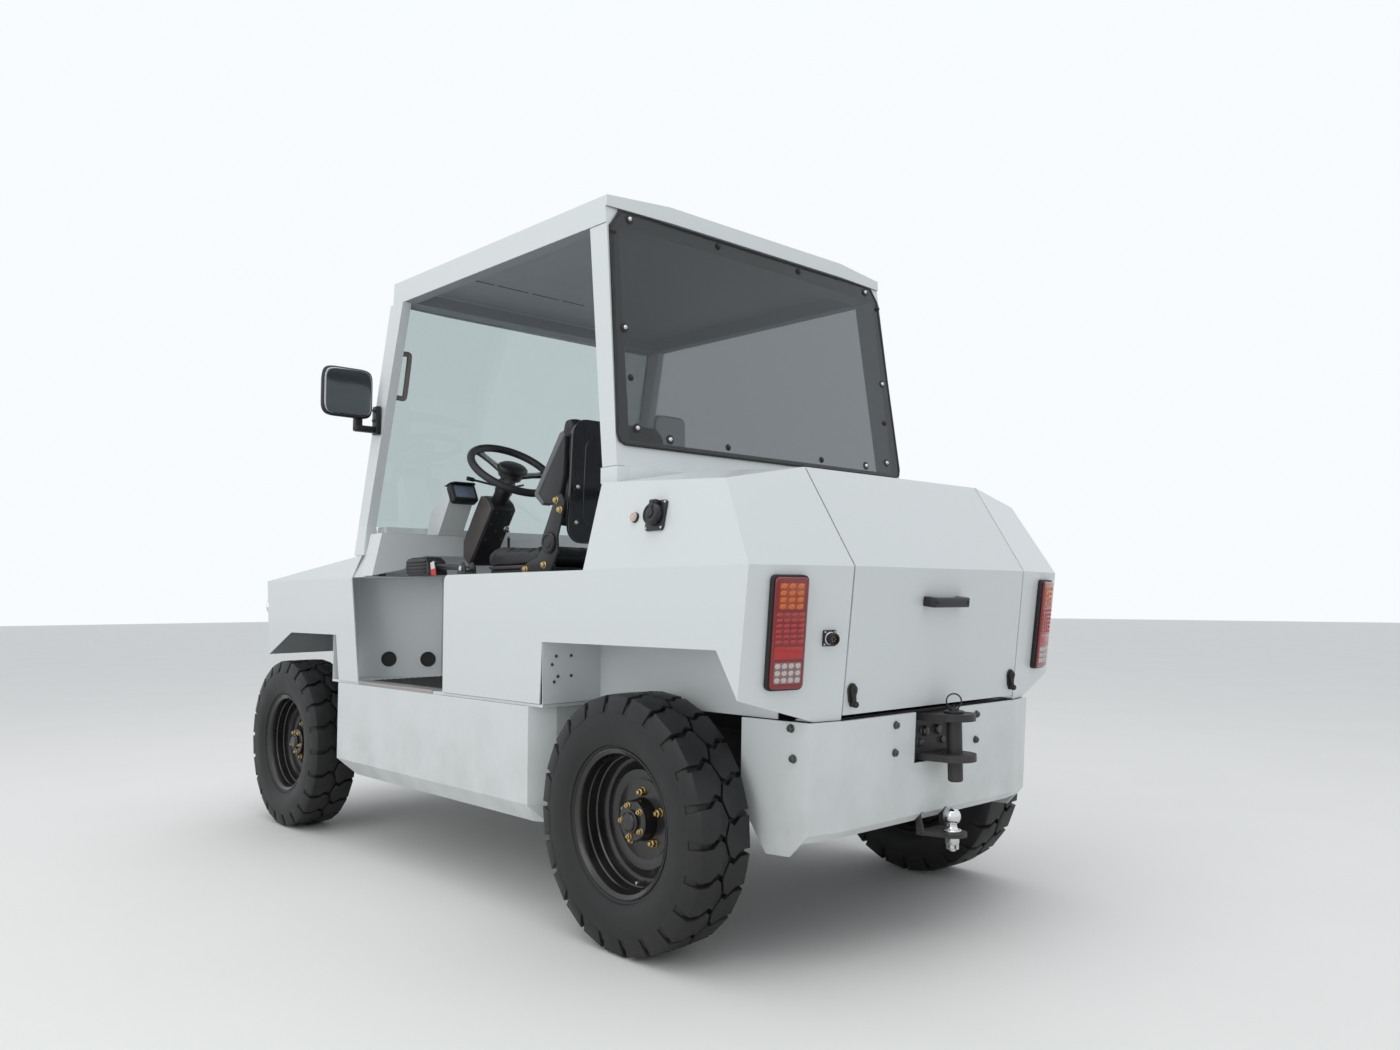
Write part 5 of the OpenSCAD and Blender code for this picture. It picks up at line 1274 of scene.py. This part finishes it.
for k in range(4):
    bar_box("brake_grip_rib_%d" % k, (1214, 682, 1073 + 13 * k), (1358, 690, 1079 + 13 * k), black_rubber,
            0.002)
    bar_box("brake_grip_top_rib_%d" % k, (1222, 614 + 17 * k, 1124), (1350, 621 + 17 * k, 1133), black_rubber,
            0.002)
side_cut("brake_tag_red", ((1150, 1062), (1188, 1066), (1192, 1084), (1156, 1090)), 676, 678.5, tag_red,
         0.0006)
side_cut("brake_tag_white", ((1160, 1088), (1190, 1084), (1196, 1110), (1172, 1116)), 675, 677.5, tag_white,
         0.0006)
bent_rod("brake_tag_wire", ((1172, 640, 1108), (1176, 664, 1118), (1174, 676, 1106), (1172, 677, 1086)), 2,
         bright_steel)
FIREWALL_X, FIREWALL_SLANT = 1644.2, 15 / 365
for y in (190, 320):
    pad = on_face(spot(1572, y, 760), (-1, 0, 0))
    cut_plate("pedal_%d" % y, rounded(39, 39, 7), 0, 5, dark_steel, pad, 0.001)
    cut_plate("pedal_rubber_%d" % y, rounded(40, 40, 8), 4.5, 9, black_rubber, pad, 0.0015)
    for k in range(5):
        cut_plate("pedal_rib_%d_%d" % (y, k), ((-34, 14 * k - 31), (34, 14 * k - 31), (34, 14 * k - 25),
                                               (-34, 14 * k - 25)), 8.5, 12, black_rubber, pad, 0.001)
    end_x = FIREWALL_X + FIREWALL_SLANT * y
    bent_rod("pedal_arm_%d" % y, ((1571, y, 762), (1590, y, 766), (1606, y, 779), (end_x - 16, y, 780),
                                  (end_x, y, 780)), 15, chassis_paint)
HANDLE_LOW, HANDLE_HIGH = (1568, 649, 1786), (1530, 645, 1953)
bent_rod("grab_handle", ((1568, 648.5, 1784), (1568, 628, 1783), (1568, 603, 1781), (1567, 598, 1790),
                         (1549, 598, 1870), (1531, 598, 1948), (1530, 603, 1957), (1530, 624, 1955),
                         (1530, 644.5, 1954)), 21, grab_grey)
for x, y, z in (HANDLE_LOW, HANDLE_HIGH):
    cut_plate("grab_foot_%d" % z, rounded(15, 20, 7), 0, 9, grab_grey, on_face(spot(x, y, z), (0, -1, -0.03)),
              0.003, segments=3)

# Footwell: ribbed rubber mat, a bare aluminium strip along each door's edge, and two
# rubber plugs in the firewall at the left.
mat_rubber = coated("mat_rubber", (0.02, 0.019, 0.02), 0.55, film=0.35, grain=500.0, bump=0.25)
sill_alloy = coated("sill_alloy", (0.42, 0.4, 0.385), 0.42, metallic=0.85, film=0.3, grain=900.0, bump=0.1)
eased("floor_mat", mat_rubber, width=0.0008, angle=40)
lozenge = cut_plate("lozenge_pattern", ((-11, 0), (-3, -3.4), (3, -3.4), (11, 0), (3, 3.4), (-3, 3.4)), -0.4,
                    1.6, mat_rubber, Matrix.Identity(4), 0.0004, segments=1)
for turn in (0, 1):
    lozenge.data.transform(turn_by(90, "Z"))
    bumps = [(spot(1070 + 26 * i + 13 * turn, -672 + 26 * j + 13 * turn, 658), (0, 0, 1))
             for i in range(22) for j in range(52)]
    fastened("mat_bumps_%d" % turn, lozenge, bumps, mat_rubber)
for side, title in SIDES:
    bar_box("sill_strip_" + title, (1046, side * 692, 655.2), (1618, side * 743, 659.5), sill_alloy, 0.001)
    bar_box("sill_edge_" + title, (1046, side * 741, 645), (1618, side * 746.5, 659.5), sill_alloy, 0.001)
for x, y, z, normal in ((1780, 539, 730, (-1, 0.76, 0)), (1688, 411, 728, (-1, 0.6, 0))):
    lathed("firewall_plug_%d" % y, ((-1, 0), (-1, 27), (0, 31), (3, 31), (5, 28.5), (5, 25), (3.2, 23),
                                    (3, 0)), black_rubber, on_face(spot(x, y, z), normal), steps=40)

# Pillar feet: white stubs under the rear pillars, each with a plate that closes the step
# between the cab's rear wall and the sloping shoulder of the body. Welded and painted.
FOOT = ((80, 1312), (160, 1316), (160, 1365.5), (80, 1365.5))
APRON = ((424, 1363), (642, 1320), (642, 1365.5), (424, 1365.5))
APRON_X, APRON_Z = 82, 1340
for side, title in SIDES:
    side_cut("pillar_foot_" + title, FOOT, side * 640, side * 690, white_paint, 0.003)
    apron = [(-side * y, z - APRON_Z) for y, z in APRON]
    cut_plate("pillar_apron_" + title, apron, -2, 2, white_paint,
              on_face(spot(APRON_X, 0, APRON_Z), (-1, 0, 0)))

# Closing plates: one beside the platform at each door, one in each rear corner behind
# the seat, one from the cowl to the fender. Folded from the same sheet and painted with
# the body.
CHEEK = ((-44, -50), (46, -50), (34, 50), (-26, 50))
CORNER_X, CORNER_Y, CORNER_Z, CORNER_SPAN = 97, 664, 1180, (1052, 1316)
for side, title in SIDES:
    cheek = on_face(spot(1668, side * 723, 1112), (-0.2, side * 0.95, 0.22))
    cut_plate("fender_cheek_" + title, [(-side * u, v) for u, v in CHEEK], -1.5, 1.5, white_paint, cheek,
              0.0006)
    bar_box("door_jamb_" + title, (967, side * 693, 656), (1039, side * 703, 1049), white_paint, 0.001)
    corner = [(side * (LEFT_SIDE - LEAN * (z - SHOULDER) - 2), z - CORNER_Z) for z in CORNER_SPAN]
    corner += [(side * CORNER_Y, z - CORNER_Z) for z in CORNER_SPAN[::-1]]
    cut_plate("corner_plate_" + title, corner, -2, 1, white_paint,
              on_face(spot(CORNER_X, 0, CORNER_Z), (1, 0, 0)), 0.0006)

# Glazing rubber: a round black gasket runs about the rear pane, and one lies down each
# edge of the windscreen.
PANE_EDGE = ((617, 2168), (650, 2120), (683, 1462), (676, 1440), (654, 1431))
gasket = [(CAB_X + PANE_LEAN * (z - PANE_FOOT) - 5, y, z) for y, z in PANE_EDGE]
gasket += [(x, -y, z) for x, y, z in gasket[::-1]]
bent_rod("pane_gasket", gasket, 9, black_rubber, closed=True, round_off=False)
for side, title in SIDES:
    bent_rod("screen_gasket_" + title, ((1716, side * 661.6, 1270), (1519, side * 639.6, 2150)), 10,
             black_rubber, round_off=False)

# Ceiling seam: four short runs of black sealant across the lining, above the wheel.
# Each follows the slope of the roof's underside.
for high, low in ((584, 448), (434, 296), (275, 147), (126, 19)):
    _, place, _, _ = white_pieces["roof"].ray_cast(spot(1145, (high + low) / 2, 1900), (0, 0, 1))
    stitch = Matrix.Translation(place) @ turn_by(180, "X")
    half = (high - low) / 2
    cut_plate("ceiling_stitch_%d" % high, ((-2, -half), (2, -half), (2, half), (-2, half)), -1, 1.2,
              black_rubber, stitch, 0.0004)

# Head lamps: round buckets painted dark red, each with a bright bezel, a reflector bowl,
# a bulb and a domed glass. Set on the sloping corners of the nose.
head_glass = pane("head_glass", (0.9, 0.91, 0.92), 0.03, 1.5)
bucket_red = coated("bucket_red", (0.11, 0.012, 0.012), 0.4, film=0.15, grain=600.0, bump=0.1)
reflector = coated("reflector", (0.85, 0.85, 0.86), 0.08, metallic=1.0, film=0.03, grain=200.0, bump=0.02)
for side, title in SIDES:
    face = on_face(spot(2569, side * 667, 950), (1, side * 0.218, -0.116))
    bucket = lathed("lamp_bucket_" + title, ((0.5, 0), (0.5, 52), (3, 54), (38, 54), (38, 49), (8, 44),
                                             (6, 0)), bucket_red, face, steps=56)
    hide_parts("head_lamps")
    lathed("lamp_bezel_" + title, ((37, 50), (37, 57), (40, 59.6), (48, 59.4), (50.5, 57), (51, 53.5),
                                   (50, 51), (46, 50)), chrome_ball, face, steps=56,
           closed=True)
    lathed("lamp_reflector_" + title, ((10, 0), (10.5, 14), (14, 30), (22, 42), (34, 48.5), (38, 49.5),
                                       (36, 49.9), (22, 44), (8, 20), (7.5, 0)), reflector, face,
           steps=56)
    lathed("lamp_bulb_" + title, ((10, 0), (10, 5), (24, 5), (28, 3.4), (29.5, 0)), clear_lens, face,
           steps=24)
    lathed("lamp_glass_" + title, ((42, 0), (42, 50.5), (45, 50.5), (48, 38), (50, 20), (50.6, 0)),
           head_glass, face, steps=56)

# The patterns that were copied or set out on marks are no longer needed.
for item in list(bpy.data.objects):
    if "_pattern" in item.name:
        bpy.data.objects.remove(item)
